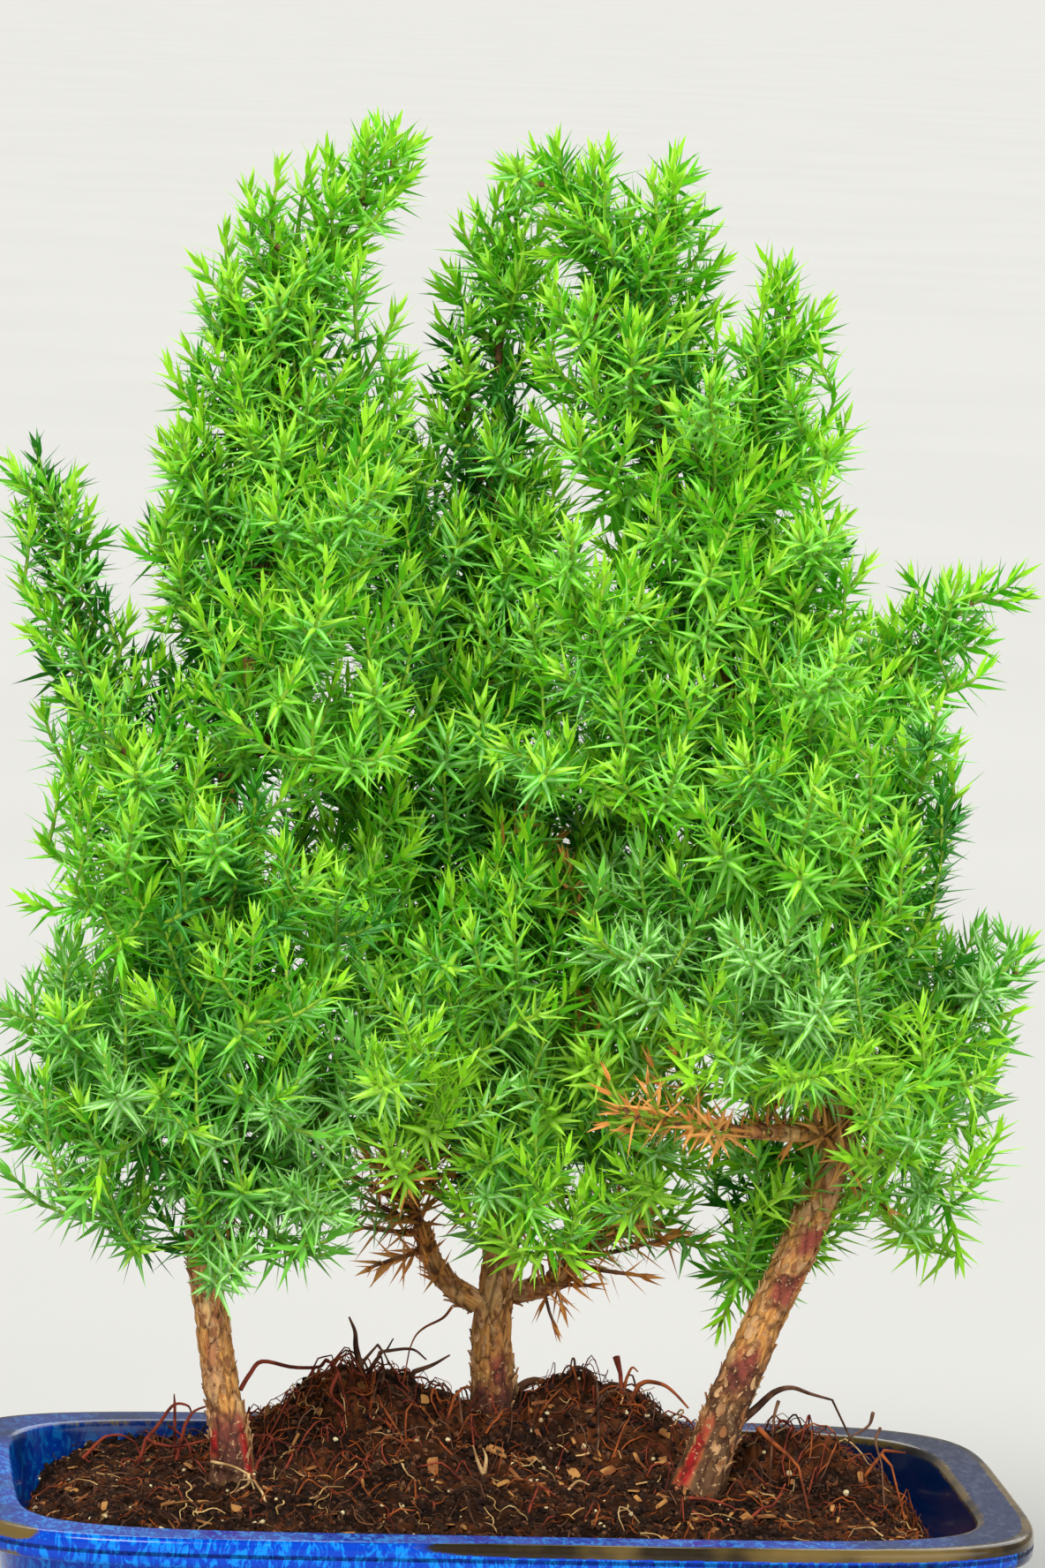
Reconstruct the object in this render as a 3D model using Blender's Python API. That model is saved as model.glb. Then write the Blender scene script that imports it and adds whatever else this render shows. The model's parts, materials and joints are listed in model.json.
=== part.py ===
"""Forest planting of three young junipers in a shallow glazed tray pot.

World frame: the pot stands on z = 0 with its middle at the origin, its long side along X,
and the front of the planting faces -Y. Sizes in the tables are millimetres and degrees.
"""
import math
from collections import namedtuple

import bmesh
import bpy
import numpy as np

MM = 0.001
CLEAR = 0.3 * MM                # gap that touching pieces keep
UP = np.array((0.0, 0.0, 1.0))

# Pot: a soft rectangle in plan, with a flat turned-out rim and four corner feet
POT_HALF_LENGTH = 100.0 * MM
POT_HALF_DEPTH = 62.0 * MM
POT_HEIGHT = 50.0 * MM
POT_SQUARENESS = 5.6            # exponent of the plan's superellipse
POT_SIDES = 36
RIM_WIDTH = 10.0 * MM
RIM_EDGE = 2.2 * MM             # width of the soft edge round the rim's top
LIP_HEIGHT = 5.5 * MM
WALL = 5.5 * MM
WALL_SLOPE = 9.0 * MM           # how far the wall leans in from rim to ground
WALL_FOOT = 2.5 * MM            # chamfer between wall and underside
FLOOR_THICKNESS = 6.0 * MM
FOOT_HEIGHT = 3.5 * MM
FOOT_INSET = 15.0 * MM
FOOT_WIDTH = 9.0 * MM
FOOT_ROOT = 1.5 * MM            # how far the feet reach up into the floor
FOOT_GAP_LENGTH = 118.0 * MM
FOOT_GAP_DEPTH = 48.0 * MM

# Soil: a low dome with heaps of fibrous mix behind and beside the trunks, sunk at both ends.
# Heaps: (x, y, height, radius)
SOIL_EDGE = 46.0 * MM
SOIL_DOME = 5.5 * MM
SOIL_HEAPS = ((-26.0, 21.0, 14.0, 19.0), (20.0, 22.0, 12.0, 16.0), (60.0, 10.0, 9.0, 14.0))
SOIL_END_DIP = 6.0 * MM
SOIL_END = 74.0 * MM
SOIL_END_SPAN = 14.0 * MM
SOIL_RINGS = (1.0, 0.93, 0.82, 0.7, 0.58, 0.46, 0.34, 0.22, 0.1)
SOIL_CLEAR = 0.5 * MM           # gap between the soil and the pot's wall
SEAT_DEPTH = 1.2 * MM           # how deep a trunk's foot stands in the soil
SEAT_CLEAR = 0.7 * MM
SEAT_SIDES = 12

# Trunks: (height, x, y, radius) up each one's middle line, foot first
TRUNKS = {
    "left": ((52.0, -48.2, -4.0, 3.9), (79.0, -53.4, -3.0, 3.5), (105.0, -56.4, -2.0, 3.2),
             (162.0, -55.6, 2.0, 2.5), (225.0, -47.4, 3.0, 1.7), (262.0, -42.6, 1.0, 1.1)),
    "centre": ((60.0, 2.9, 22.0, 4.5), (76.0, 1.8, 22.0, 4.1), (92.0, 3.0, 22.0, 3.8),
               (135.0, -0.5, 23.0, 3.0), (205.0, -3.0, 24.0, 1.9), (258.0, -3.6, 24.0, 1.1)),
    "right": ((51.0, 39.2, -6.0, 4.8), (76.0, 48.6, -4.0, 4.2), (107.0, 61.4, -2.0, 3.9),
              (124.0, 63.8, 0.0, 3.6), (165.0, 53.4, 3.0, 2.9), (225.0, 32.5, 3.0, 1.8),
              (270.0, 19.4, 1.0, 1.1)),
}
TRUNK_SIDES = 9
TRUNK_RINGS = 17
FLARE = 0.45                    # how much wider than the trunk its root flare is
FLARE_HEIGHT = 6.0 * MM
FLARE_LOBES = 4
FLARE_LOBE_SHARE = 0.28

# Boughs: where they leave the trunk, which way and how far, base and end radius
Bough = namedtuple("Bough", "name tree height azimuth reach rise lift radius end")
BOUGHS = (
    Bough("centre_low_bough_left", "centre", 80, 187, 15, 15, 0.25, 2.4, 1.6),
    Bough("centre_low_bough_right", "centre", 83, -12, 15, 6, 0.2, 2.2, 1.5),
    Bough("right_dead_bough", "right", 118, 190, 22, 3, 0.3, 1.8, 1.2),
)
BOUGH_SIDES = 7
BOUGH_RINGS = 6

# Masses: stem's start height on the trunk (None where it grows from the tip of a trunk or
# bough), its azimuth, reach and rise, how early it turns (lift), longest side shoot, number
# of side shoots, shade
Mass = namedtuple("Mass", "name start height azimuth reach rise lift shoot count shade")
MASSES = (
    Mass("left_leader_tip", "left", None, 4, 24, 42, 0.35, 12, 4, "bright"),
    Mass("left_crown_tip", "left", 250, -110, 5, 47, 0.1, 15, 4, "bright"),
    Mass("left_crown_left", "left", 240, -158, 12, 46, 0.15, 17, 5, "bright"),
    Mass("left_upper_right", "left", 232, 12, 23, 31, 0.2, 19, 4, "bright"),
    Mass("left_shoulder", "left", 212, -150, 15, 49, 0.15, 19, 5, "bright"),
    Mass("left_plume", "left", 184, -64, 40, 64, 0.12, 31, 7, "bright"),
    Mass("left_upper_front", "left", 222, -84, 14, 44, 0.12, 22, 4, "bright"),
    Mass("left_wand", "left", 164, 172, 38, 86, 0.25, 16, 4, "mid"),
    Mass("left_mid", "left", 152, -128, 32, 47, 0.15, 30, 6, "bright"),
    Mass("left_low_front", "left", 126, -84, 32, 58, 0.15, 33, 7, "mid"),
    Mass("left_lower_right", "left", 112, -30, 44, 24, 0.2, 33, 5, "blue"),
    Mass("left_lower_left", "left", 118, -160, 34, 26, 0.2, 32, 5, "blue"),
    Mass("left_lowest_left", "left", 110, 168, 37, 12, 0.6, 23, 4, "blue"),
    Mass("left_lowest_right", "left", 105, -40, 33, 6, -0.1, 21, 4, "blue"),
    Mass("left_upper_back", "left", 198, 80, 27, 38, 0.15, 30, 5, "mid"),
    Mass("left_low_back", "left", 128, 96, 42, 34, 0.2, 35, 5, "mid"),
    Mass("centre_leader_tip", "centre", None, 0, 1, 37, 0.5, 12, 4, "bright"),
    Mass("centre_crown_left", "centre", 238, -158, 8, 28, 0.2, 16, 4, "bright"),
    Mass("centre_crown_right", "centre", 208, 62, 9, 44, 0.15, 17, 4, "bright"),
    Mass("centre_upper_left", "centre", 200, -155, 24, 50, 0.15, 29, 6, "mid"),
    Mass("centre_upper_front", "centre", 204, -78, 14, 46, 0.12, 22, 4, "bright"),
    Mass("centre_mid_left", "centre", 150, 176, 30, 46, 0.2, 31, 6, "mid"),
    Mass("centre_mid_right", "centre", 146, -4, 28, 44, 0.2, 31, 6, "mid"),
    Mass("centre_mid_front", "centre", 162, -104, 26, 52, 0.15, 31, 6, "mid"),
    Mass("centre_plume_left", "centre", 128, -132, 46, 50, 0.15, 30, 6, "bright"),
    Mass("centre_plume_right", "centre", 122, -97, 32, 56, 0.15, 29, 6, "bright"),
    Mass("centre_low_front", "centre", 114, -56, 42, 34, 0.2, 29, 6, "bright"),
    Mass("centre_low_drop", "centre", 112, -86, 34, -14, -0.5, 24, 4, "blue"),
    Mass("centre_low_right", "centre", 112, -24, 42, -6, -0.4, 27, 5, "blue"),
    Mass("centre_upper_back", "centre", 178, 86, 29, 44, 0.15, 30, 5, "mid"),
    Mass("centre_low_back", "centre", 124, 72, 34, 40, 0.2, 32, 5, "mid"),
    Mass("centre_tuft_left", "centre_low_bough_left", None, 160, 8, 15, 0.3, 11, 4, "dead"),
    Mass("centre_tuft_right", "centre_low_bough_right", None, -8, 26, 3, 0.3, 16, 5, "dead"),
    Mass("right_bent_tip", "right", None, 178, 27, 27, 0.45, 13, 4, "bright"),
    Mass("right_crown_tip", "right", 248, 96, 7, 57, 0.06, 17, 5, "bright"),
    Mass("right_crown_left", "right", 246, -150, 21, 36, 0.2, 22, 4, "bright"),
    Mass("right_upper", "right", 226, 8, 19, 58, 0.1, 22, 5, "bright"),
    Mass("right_upper_front", "right", 208, -104, 24, 52, 0.15, 29, 5, "bright"),
    Mass("right_shoulder", "right", 192, -66, 21, 50, 0.15, 21, 6, "bright"),
    Mass("right_long_left", "right", 178, -146, 56, 54, 0.25, 31, 7, "bright"),
    Mass("right_far", "right", 180, 5, 43, 47, 0.45, 19, 5, "bright"),
    Mass("right_mid_front", "right", 160, -96, 42, 52, 0.15, 32, 6, "bright"),
    Mass("right_mid", "right", 142, -46, 24, 60, 0.1, 23, 6, "mid"),
    Mass("right_lower", "right", 134, -8, 41, 20, 0.3, 19, 5, "blue"),
    Mass("right_drop", "right", 114, 12, 28, -27, -0.4, 19, 4, "blue"),
    Mass("right_low_left", "right", 142, -152, 47, 26, 0.15, 30, 6, "blue"),
    Mass("right_lower_left", "right", 126, -114, 44, 34, 0.15, 31, 6, "blue"),
    Mass("right_drop_left", "right", 110, 122, 22, -32, -0.3, 21, 4, "mid"),
    Mass("right_upper_back", "right", 206, 84, 27, 44, 0.15, 30, 5, "mid"),
    Mass("right_mid_back", "right", 160, 98, 40, 40, 0.15, 32, 5, "mid"),
    Mass("right_low_back", "right", 126, 34, 36, 14, 0.2, 25, 5, "blue"),
    Mass("right_dead_spray", "right_dead_bough", None, 184, 28, 6, 0.3, 9, 3, "dead"),
)
STEM_SAMPLES = 24
OUTWARD_SHARE = 0.55            # share of a stem's reach at which it turns up or down

# Needles: in threes on a stem and in pairs on a side shoot, each set turned from the last.
# Each stands for several whorls of the living ones, which are 7 mm long and 2 mm apart
PAIR_SIDES = 4
NEEDLE_STEP = 9.6 * MM
NEEDLE = 9.6 * MM
NEEDLE_ANGLE = math.radians(52.0)
TIP_ANGLE = math.radians(16.0)
STEM_ROOT = 1.4 * MM            # radius of a side shoot at its root, along it and at its end
SHOOT_CORE = 2.9 * MM
CORE_END = 1.2 * MM
BUD = 3.5 * MM
TIP_NEEDLES = 10.5 * MM         # how far the last needles reach past the end of a stem

# The dense core round a mass's stem, which its needles and side shoots stand out of
CORE_SIDES = 6
FULL_CORE = 11.5 * MM
SLIM_CORE = 1.7 * MM            # a dead spray's
CORE_PLACES = (0.0, 0.12, 0.45, 0.8, 1.0)
CORE_SHARES = (0.0, 0.8, 1.0, 0.65, 0.2)
CORE_SEARCH = 0.6 * MM          # step by which a core's reach is felt for

# Side shoots: round the stem by the golden angle, shorter towards its tip, bending up
GOLDEN = math.radians(137.5)
SHOOT_ANGLE = math.radians(44.0)
SHOOT_SAMPLES = 8
SHOOT_SHORTEST = 5.0 * MM
SHOOT_FIRST = 4.5 * MM          # bare length of stem below its first side shoot
SHOOT_LOWEST = 1.15             # length of the lowest side shoot, as a share of the longest
SHOOT_LOSS = 0.6                # share that a side shoot has lost at the stem's tip
SHOOT_LIFT = 0.7

# What keeps a mass to its own space
CROWN_HALF_LENGTH = 100.5 * MM
CROWN_HALF_DEPTH = 62.5 * MM
CORE_MARGIN = 1.2 * MM
CORE_LIMB_MARGIN = 2.3 * MM
SHOOT_MARGIN = 3.6 * MM
NEEDLE_MARGIN = 1.2 * MM
NEEDLE_CLEAR = 2.6 * MM         # a needle keeps this far from the mass's other shoots
LIMB_MARGIN = 1.5 * MM
LIMB_STEP = 2.0 * MM

# Base colour and roughness of each finish
COLOURS = {
    "glaze": ((0.004, 0.045, 0.42), 0.16),
    "soil": ((0.030, 0.014, 0.008), 0.95),
    "bark": ((0.36, 0.16, 0.065), 0.85),
    "bright": ((0.10, 0.42, 0.03), 0.5),
    "mid": ((0.035, 0.24, 0.025), 0.5),
    "blue": ((0.09, 0.30, 0.10), 0.5),
    "dead": ((0.45, 0.15, 0.035), 0.7),
}


def clear_scene():
    for item in list(bpy.data.objects):
        bpy.data.objects.remove(item, do_unlink=True)


def material(name):
    made = bpy.data.materials.get(name)
    if made:
        return made
    colour, roughness = COLOURS[name]
    made = bpy.data.materials.new(name)
    made.use_nodes = True
    shader = made.node_tree.nodes["Principled BSDF"]
    shader.inputs["Base Color"].default_value = (*colour, 1.0)
    shader.inputs["Roughness"].default_value = roughness
    shader.inputs["Metallic"].default_value = 0.0
    return made


def new_object(name, vertices, faces, finish, smooth=False):
    mesh = bpy.data.meshes.new(name)
    mesh.from_pydata([tuple(v) for v in vertices], [], [tuple(f) for f in faces])
    mesh.update()
    mesh.materials.append(material(finish))
    if smooth:
        mesh.shade_smooth()
        mesh.set_sharp_from_angle(angle=math.radians(40.0))
    item = bpy.data.objects.new(name, mesh)
    bpy.context.scene.collection.objects.link(item)
    return item


def boolean(target, others, operation, solver):
    """Join or cut by every object of a collection, apply, and remove the others."""
    group = bpy.data.collections.new("operands")
    for other in others:
        group.objects.link(other)
    step = target.modifiers.new(operation.lower(), "BOOLEAN")
    step.operation = operation
    step.solver = solver
    step.operand_type = "COLLECTION"
    step.collection = group
    graph = bpy.context.evaluated_depsgraph_get()
    result = bpy.data.meshes.new_from_object(target.evaluated_get(graph))
    target.modifiers.clear()
    target.data = result
    bpy.data.collections.remove(group)
    for other in others:
        bpy.data.objects.remove(other, do_unlink=True)


def keep_largest_body(item):
    """Drop the loose scraps and sealed hollows that a union can leave."""
    work = bmesh.new()
    work.from_mesh(item.data)
    left = set(work.faces)
    bodies = []
    while left:
        body = set()
        edge_of = [left.pop()]
        while edge_of:
            face = edge_of.pop()
            body.add(face)
            beside = {other for edge in face.edges for other in edge.link_faces if other in left}
            left -= beside
            edge_of.extend(beside)
        bodies.append(body)
    bodies.sort(key=len)
    scraps = [face for body in bodies[:-1] for face in body]
    bmesh.ops.delete(work, geom=scraps, context="FACES")
    work.to_mesh(item.data)
    work.free()


def unit(vector):
    return vector / np.linalg.norm(vector)


def heading(azimuth):
    turn = math.radians(azimuth)
    return np.array((math.cos(turn), math.sin(turn), 0.0))


def loft(rings, closed_start=True, closed_end=True):
    """Faces between rings of equal count, with an n-gon on each closed end."""
    count = len(rings[0])
    faces = []
    for level in range(len(rings) - 1):
        low, high = level * count, (level + 1) * count
        for side in range(count):
            after = (side + 1) % count
            faces.append((low + side, low + after, high + after, high + side))
    if closed_start:
        faces.append(tuple(range(count - 1, -1, -1)))
    if closed_end:
        faces.append(tuple(range((len(rings) - 1) * count, len(rings) * count)))
    return [point for ring in rings for point in ring], faces


def plan_ring(inset, z):
    """Outline of the pot in plan, drawn in by an inset, at one height."""
    power = 2.0 / POT_SQUARENESS
    ring = []
    for side in range(POT_SIDES):
        turn = 2.0 * math.pi * (side + 0.5) / POT_SIDES
        cosine, sine = math.cos(turn), math.sin(turn)
        x = (POT_HALF_LENGTH - inset) * math.copysign(abs(cosine) ** power, cosine)
        y = (POT_HALF_DEPTH - inset) * math.copysign(abs(sine) ** power, sine)
        ring.append((x, y, z))
    return ring


def inner_inset(z):
    """How far the inner face of the wall is from the rim's outer edge at a height."""
    return RIM_WIDTH + WALL_SLOPE * (POT_HEIGHT - z) / POT_HEIGHT


def build_pot():
    lip = POT_HEIGHT - LIP_HEIGHT
    floor = FOOT_HEIGHT + FLOOR_THICKNESS
    soft = 0.4 * RIM_EDGE
    outer = [(inner_inset(FOOT_HEIGHT) - WALL + WALL_FOOT, FOOT_HEIGHT),
             (inner_inset(FOOT_HEIGHT) - WALL, FOOT_HEIGHT + WALL_FOOT),
             (inner_inset(lip) - WALL, lip - soft),
             (soft, lip),
             (0.0, lip + soft),
             (0.0, POT_HEIGHT - 1.4 * soft),
             (soft, POT_HEIGHT - 0.3 * soft),
             (RIM_EDGE, POT_HEIGHT)]
    inner = [(RIM_WIDTH - 1.6 * soft, POT_HEIGHT - 0.3 * soft),
             (inner_inset(POT_HEIGHT - 2.0 * soft), POT_HEIGHT - 2.0 * soft),
             (inner_inset(floor), floor)]
    vertices, faces = loft([plan_ring(inset, z) for inset, z in outer + inner])
    pot = new_object("pot", vertices, faces, "glaze", smooth=True)
    feet = build_feet(FOOT_HEIGHT + FOOT_ROOT)
    boolean(pot, [feet], "UNION", "EXACT")
    return pot


def build_feet(top):
    """A low ring under the floor, cut through on all four sides so that corners stay."""
    edges = [(FOOT_INSET, 0.0), (FOOT_INSET, top),
             (FOOT_INSET + FOOT_WIDTH, top), (FOOT_INSET + FOOT_WIDTH, 0.0)]
    rings = [plan_ring(inset, z) for inset, z in edges]
    vertices, faces = loft(rings + rings[:1], closed_start=False, closed_end=False)
    count = len(edges) * POT_SIDES
    faces = [tuple(index % count for index in face) for face in faces]
    feet = new_object("feet", vertices[:count], faces, "glaze")
    gaps = [box("gap_long", FOOT_GAP_LENGTH, 2.0 * POT_HALF_DEPTH, 2.0 * top),
            box("gap_deep", 2.0 * POT_HALF_LENGTH, FOOT_GAP_DEPTH, 2.0 * top)]
    boolean(feet, gaps, "DIFFERENCE", "EXACT")
    return feet


def box(name, length, depth, top):
    """A cutter: a box centred in plan, as far below the ground as its top is above it."""
    corners = [(sx * length / 2, sy * depth / 2) for sx, sy in ((-1, -1), (1, -1), (1, 1), (-1, 1))]
    vertices, faces = loft([[(x, y, z) for x, y in corners] for z in (-top, top)])
    return new_object(name, vertices, faces, "glaze")


def soil_height(x, y):
    along = max(0.0, 1.0 - (x / (0.9 * POT_HALF_LENGTH)) ** 2)
    across = max(0.0, 1.0 - (y / (0.85 * POT_HALF_DEPTH)) ** 2)
    z = SOIL_EDGE + SOIL_DOME * along * across
    for heap_x, heap_y, height, radius in SOIL_HEAPS:
        squared = (x / MM - heap_x) ** 2 + (y / MM - heap_y) ** 2
        z += height * MM * math.exp(-squared / radius ** 2)
    beyond = max(0.0, abs(x) - SOIL_END) / SOIL_END_SPAN
    return z - SOIL_END_DIP * min(1.0, beyond) ** 2


def build_soil(trunks):
    low = FOOT_HEIGHT + FLOOR_THICKNESS + CLEAR
    outline = plan_ring(inner_inset(SOIL_EDGE - SOIL_END_DIP) + SOIL_CLEAR, 0.0)
    rings = [plan_ring(inner_inset(low) + SOIL_CLEAR, low)]
    for share in SOIL_RINGS:
        rings.append([(x * share, y * share, soil_height(x * share, y * share))
                      for x, y, _ in outline])
    vertices, faces = loft(rings)
    soil = new_object("soil", vertices, faces, "soil", smooth=True)
    seats = []
    for name, trunk in trunks.items():
        foot = trunk.points[0]
        radius = trunk.radii[0] * (1.0 + FLARE) + SEAT_CLEAR
        ring = [foot + radius * heading(azimuth)
                for azimuth in np.linspace(0.0, 360.0, SEAT_SIDES, endpoint=False)]
        vertices, faces = loft([[point + rise * UP for point in ring]
                                for rise in (-CLEAR, 4.0 * radius)])
        seats.append(new_object(name + "_seat", vertices, faces, "soil"))
    boolean(soil, seats, "DIFFERENCE", "EXACT")
    return soil


class Limb:
    """A tapering limb along a smooth line."""

    def __init__(self, points, radii):
        self.points = np.array(points)
        self.radii = np.array(radii)
        spans = np.linalg.norm(np.diff(self.points, axis=0), axis=1)
        self.lengths = np.concatenate(([0.0], np.cumsum(spans)))

    def at(self, length):
        point = [np.interp(length, self.lengths, self.points[:, axis]) for axis in range(3)]
        return np.array(point), float(np.interp(length, self.lengths, self.radii))

    def direction(self, length):
        step = 0.5 * MM
        length = min(max(length, step), self.lengths[-1] - step)
        return unit(self.at(length + step)[0] - self.at(length - step)[0])

    def length_at_height(self, height):
        return float(np.interp(height, self.points[:, 2], self.lengths))

    def resampled(self, step):
        count = max(2, int(round(self.lengths[-1] / step)) + 1)
        places = [self.at(length) for length in np.linspace(0.0, self.lengths[-1], count)]
        return Limb([point for point, _ in places], [radius for _, radius in places])


def smooth_line(points, count):
    """Catmull-Rom line through points, with count samples."""
    points = np.array(points, dtype=float)
    padded = np.vstack((2 * points[0] - points[1], points, 2 * points[-1] - points[-2]))
    spans = len(points) - 1
    line = []
    for place in np.linspace(0.0, spans, count):
        span = min(int(place), spans - 1)
        t = place - span
        a, b, c, d = padded[span:span + 4]
        line.append(0.5 * (2 * b + (c - a) * t + (2 * a - 5 * b + 4 * c - d) * t * t
                           + (3 * b - a - 3 * c + d) * t ** 3))
    return np.array(line)


def bezier(start, middle, end, count, short=0.0):
    """A curve that turns once; it can stop short of its end by a length."""
    stop = 1.0 - short / (np.linalg.norm(end - middle) + np.linalg.norm(middle - start))
    t = np.linspace(0.0, stop, count)[:, None]
    return (1 - t) ** 2 * start + 2 * t * (1 - t) * middle + t ** 2 * end


def frames(points, start=None):
    """Tangent and two cross directions at each point, carried along the line without twist."""
    tangents = np.gradient(points, axis=0)
    if start is not None:
        tangents[0] = start
    tangents /= np.linalg.norm(tangents, axis=1)[:, None]
    side = np.cross(tangents[0], (0.35, -0.9, 0.25))
    sides = []
    for tangent in tangents:
        side = unit(side - tangent * np.dot(side, tangent))
        sides.append(side)
    sides = np.array(sides)
    return tangents, sides, np.cross(tangents, sides)


def around_line(first, second, turn):
    """The cross direction at an angle round a line."""
    return math.cos(turn) * first + math.sin(turn) * second


def tube_rings(limb, sides, flat_foot):
    """Rings round a limb; a trunk's rings lie level at its foot and carry a lobed flare."""
    tangents, first, _ = frames(limb.points)
    rings = []
    for level, point in enumerate(limb.points):
        length = limb.lengths[level]
        tilt = min(1.0, length / (4.0 * FLARE_HEIGHT)) if flat_foot else 1.0
        flare = FLARE * math.exp(-length / FLARE_HEIGHT) if flat_foot else 0.0
        normal = unit((1.0 - tilt) * UP + tilt * tangents[level])
        across = unit(first[level] - normal * np.dot(first[level], normal))
        along = np.cross(normal, across)
        ring = []
        for turn in np.linspace(0.0, 2.0 * math.pi, sides, endpoint=False):
            lobe = 1.0 - FLARE_LOBE_SHARE * (1.0 - math.cos(FLARE_LOBES * turn))
            radius = limb.radii[level] * (1.0 + flare * lobe)
            ring.append(point + radius * around_line(across, along, turn))
        rings.append(ring)
    return rings


def build_limb(name, limb, sides, flat_foot):
    vertices, faces = loft(tube_rings(limb, sides, flat_foot))
    return new_object(name, vertices, faces, "bark", smooth=True)


def trunk_limb(course):
    samples = smooth_line([(x, y, z, radius) for z, x, y, radius in course], TRUNK_RINGS) * MM
    samples[0, 2] = soil_height(samples[0][0], samples[0][1]) - SEAT_DEPTH + CLEAR
    return Limb(samples[:, :3], samples[:, 3])


def stem_line(trunk, height, azimuth, reach, rise, lift, radius, count, short=0.0):
    """Line of a limb that leaves a trunk: outward first, then up or down to its tip."""
    length = trunk.length_at_height(height * MM)
    root, trunk_radius = trunk.at(length)
    out = heading(azimuth)
    along = trunk.direction(length)
    level = unit(out - along * np.dot(out, along))
    start = root + level * (trunk_radius + 1.5 * CLEAR)
    end = root + reach * MM * out + rise * MM * UP
    middle = start + OUTWARD_SHARE * reach * MM * out + lift * rise * MM * UP
    start = start + level * radius * abs(np.dot(unit(middle - start), along))
    return bezier(start, middle, end, count, short)


def tip_line(limb, azimuth, reach, rise, lift, count):
    """Line that carries on from a limb's tip, in the same direction first."""
    onward = limb.direction(limb.lengths[-1])
    start = limb.points[-1] + onward * CLEAR
    end = limb.points[-1] + reach * MM * heading(azimuth) + rise * MM * UP
    middle = start + onward * (0.25 + lift) * np.linalg.norm(end - start)
    return bezier(start, middle, end, count, TIP_NEEDLES)


class Spaces:
    """Shares the crown out among the masses: each point belongs to the nearest stem."""

    def __init__(self, stems, limbs):
        self.names = list(stems)
        self.owners = np.repeat(np.arange(len(stems)), [len(line) for line in stems.values()])
        self.points = np.concatenate(list(stems.values()))
        self.limb_points = np.concatenate([limb.points for limb in limbs])
        self.limb_radii = np.concatenate([limb.radii for limb in limbs])

    def holds(self, name, point, margin):
        """Whether a point is in the crown and nearer to this mass's stem than to another."""
        if abs(point[0]) + margin > CROWN_HALF_LENGTH or abs(point[1]) + margin > CROWN_HALF_DEPTH:
            return False
        gaps = np.linalg.norm(self.points - point, axis=1)
        mine = self.owners == self.names.index(name)
        return gaps[mine].min() + margin < gaps[~mine].min()

    def off_limbs(self, point, margin):
        gaps = np.linalg.norm(self.limb_points - point, axis=1) - self.limb_radii
        return gaps.min() > margin


def core_radii(mass, stem, count, spaces):
    """A core's radii at each ring and side: full, but inside the space and off the limbs.

    Each is the least of those felt for there, half a side away and half a ring away.
    """
    most = SLIM_CORE if mass.shade == "dead" else FULL_CORE
    limb = Limb(stem, np.zeros(len(stem)))
    places = np.linspace(0.0, 1.0, 2 * count - 1)
    line = np.array([limb.at(place * limb.lengths[-1])[0] for place in places])
    _, first, second = frames(line, stem[1] - stem[0])
    felt = []
    for place, point, across, along in zip(places, line, first, second):
        full = max(STEM_ROOT, most * np.interp(place, CORE_PLACES, CORE_SHARES))
        radii = []
        for turn in np.linspace(0.0, 2.0 * math.pi, 2 * CORE_SIDES, endpoint=False):
            radial = around_line(across, along, turn)
            reach = STEM_ROOT
            while (reach < full and spaces.holds(mass.name, point + reach * radial, CORE_MARGIN)
                   and spaces.off_limbs(point + reach * radial, CORE_LIMB_MARGIN)):
                reach += CORE_SEARCH
            radii.append(min(reach, full))
        felt.append(np.minimum(radii, np.minimum(np.roll(radii, 1), np.roll(radii, -1))))
    least = np.array(felt)
    least[1:] = np.minimum(least[1:], felt[:-1])
    least[:-1] = np.minimum(least[:-1], felt[1:])
    return least[::2, ::2]


def spray(name, line, points, turn, radii, shade, may_stand):
    """A core along a line's points with needles standing out of it, as one closed body."""
    tangents, first, second = frames(points, line[1] - line[0])
    last, sides = len(points) - 1, radii.shape[1]
    rings = []
    for level, point in enumerate(points):
        along = level / last
        angle = (1.0 - along ** 3) * NEEDLE_ANGLE + along ** 3 * TIP_ANGLE
        ring = []
        for side in range(sides):
            radial = around_line(first[level], second[level], turn + 2.0 * math.pi * side / sides)
            place = point + radii[level, side] * radial
            tip = place + NEEDLE * (math.sin(angle) * radial + math.cos(angle) * tangents[level])
            if side % 2 == level % 2 and level > 0 and may_stand(place, tip):
                place = tip
            ring.append(place)
        rings.append(ring)
    vertices = [place for ring in rings for place in ring] + [points[-1] + BUD * tangents[-1]]
    faces = [tuple(range(sides - 1, -1, -1))]
    for level in range(last + 1):
        for side in range(sides):
            low = level * sides + side
            low_next = level * sides + (side + 1) % sides
            high, high_next = low + sides, low_next + sides
            if level == last:
                faces.append((low, low_next, len(vertices) - 1))
            elif side % 2 == level % 2:
                faces += [(low, low_next, high), (low_next, high_next, high)]
            else:
                faces += [(low, low_next, high_next), (low, high_next, high)]
    return new_object(name, vertices, faces, shade)


def ring_points(line):
    """Where a line's rings of needles stand."""
    return Limb(line, np.zeros(len(line))).resampled(NEEDLE_STEP).points


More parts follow.
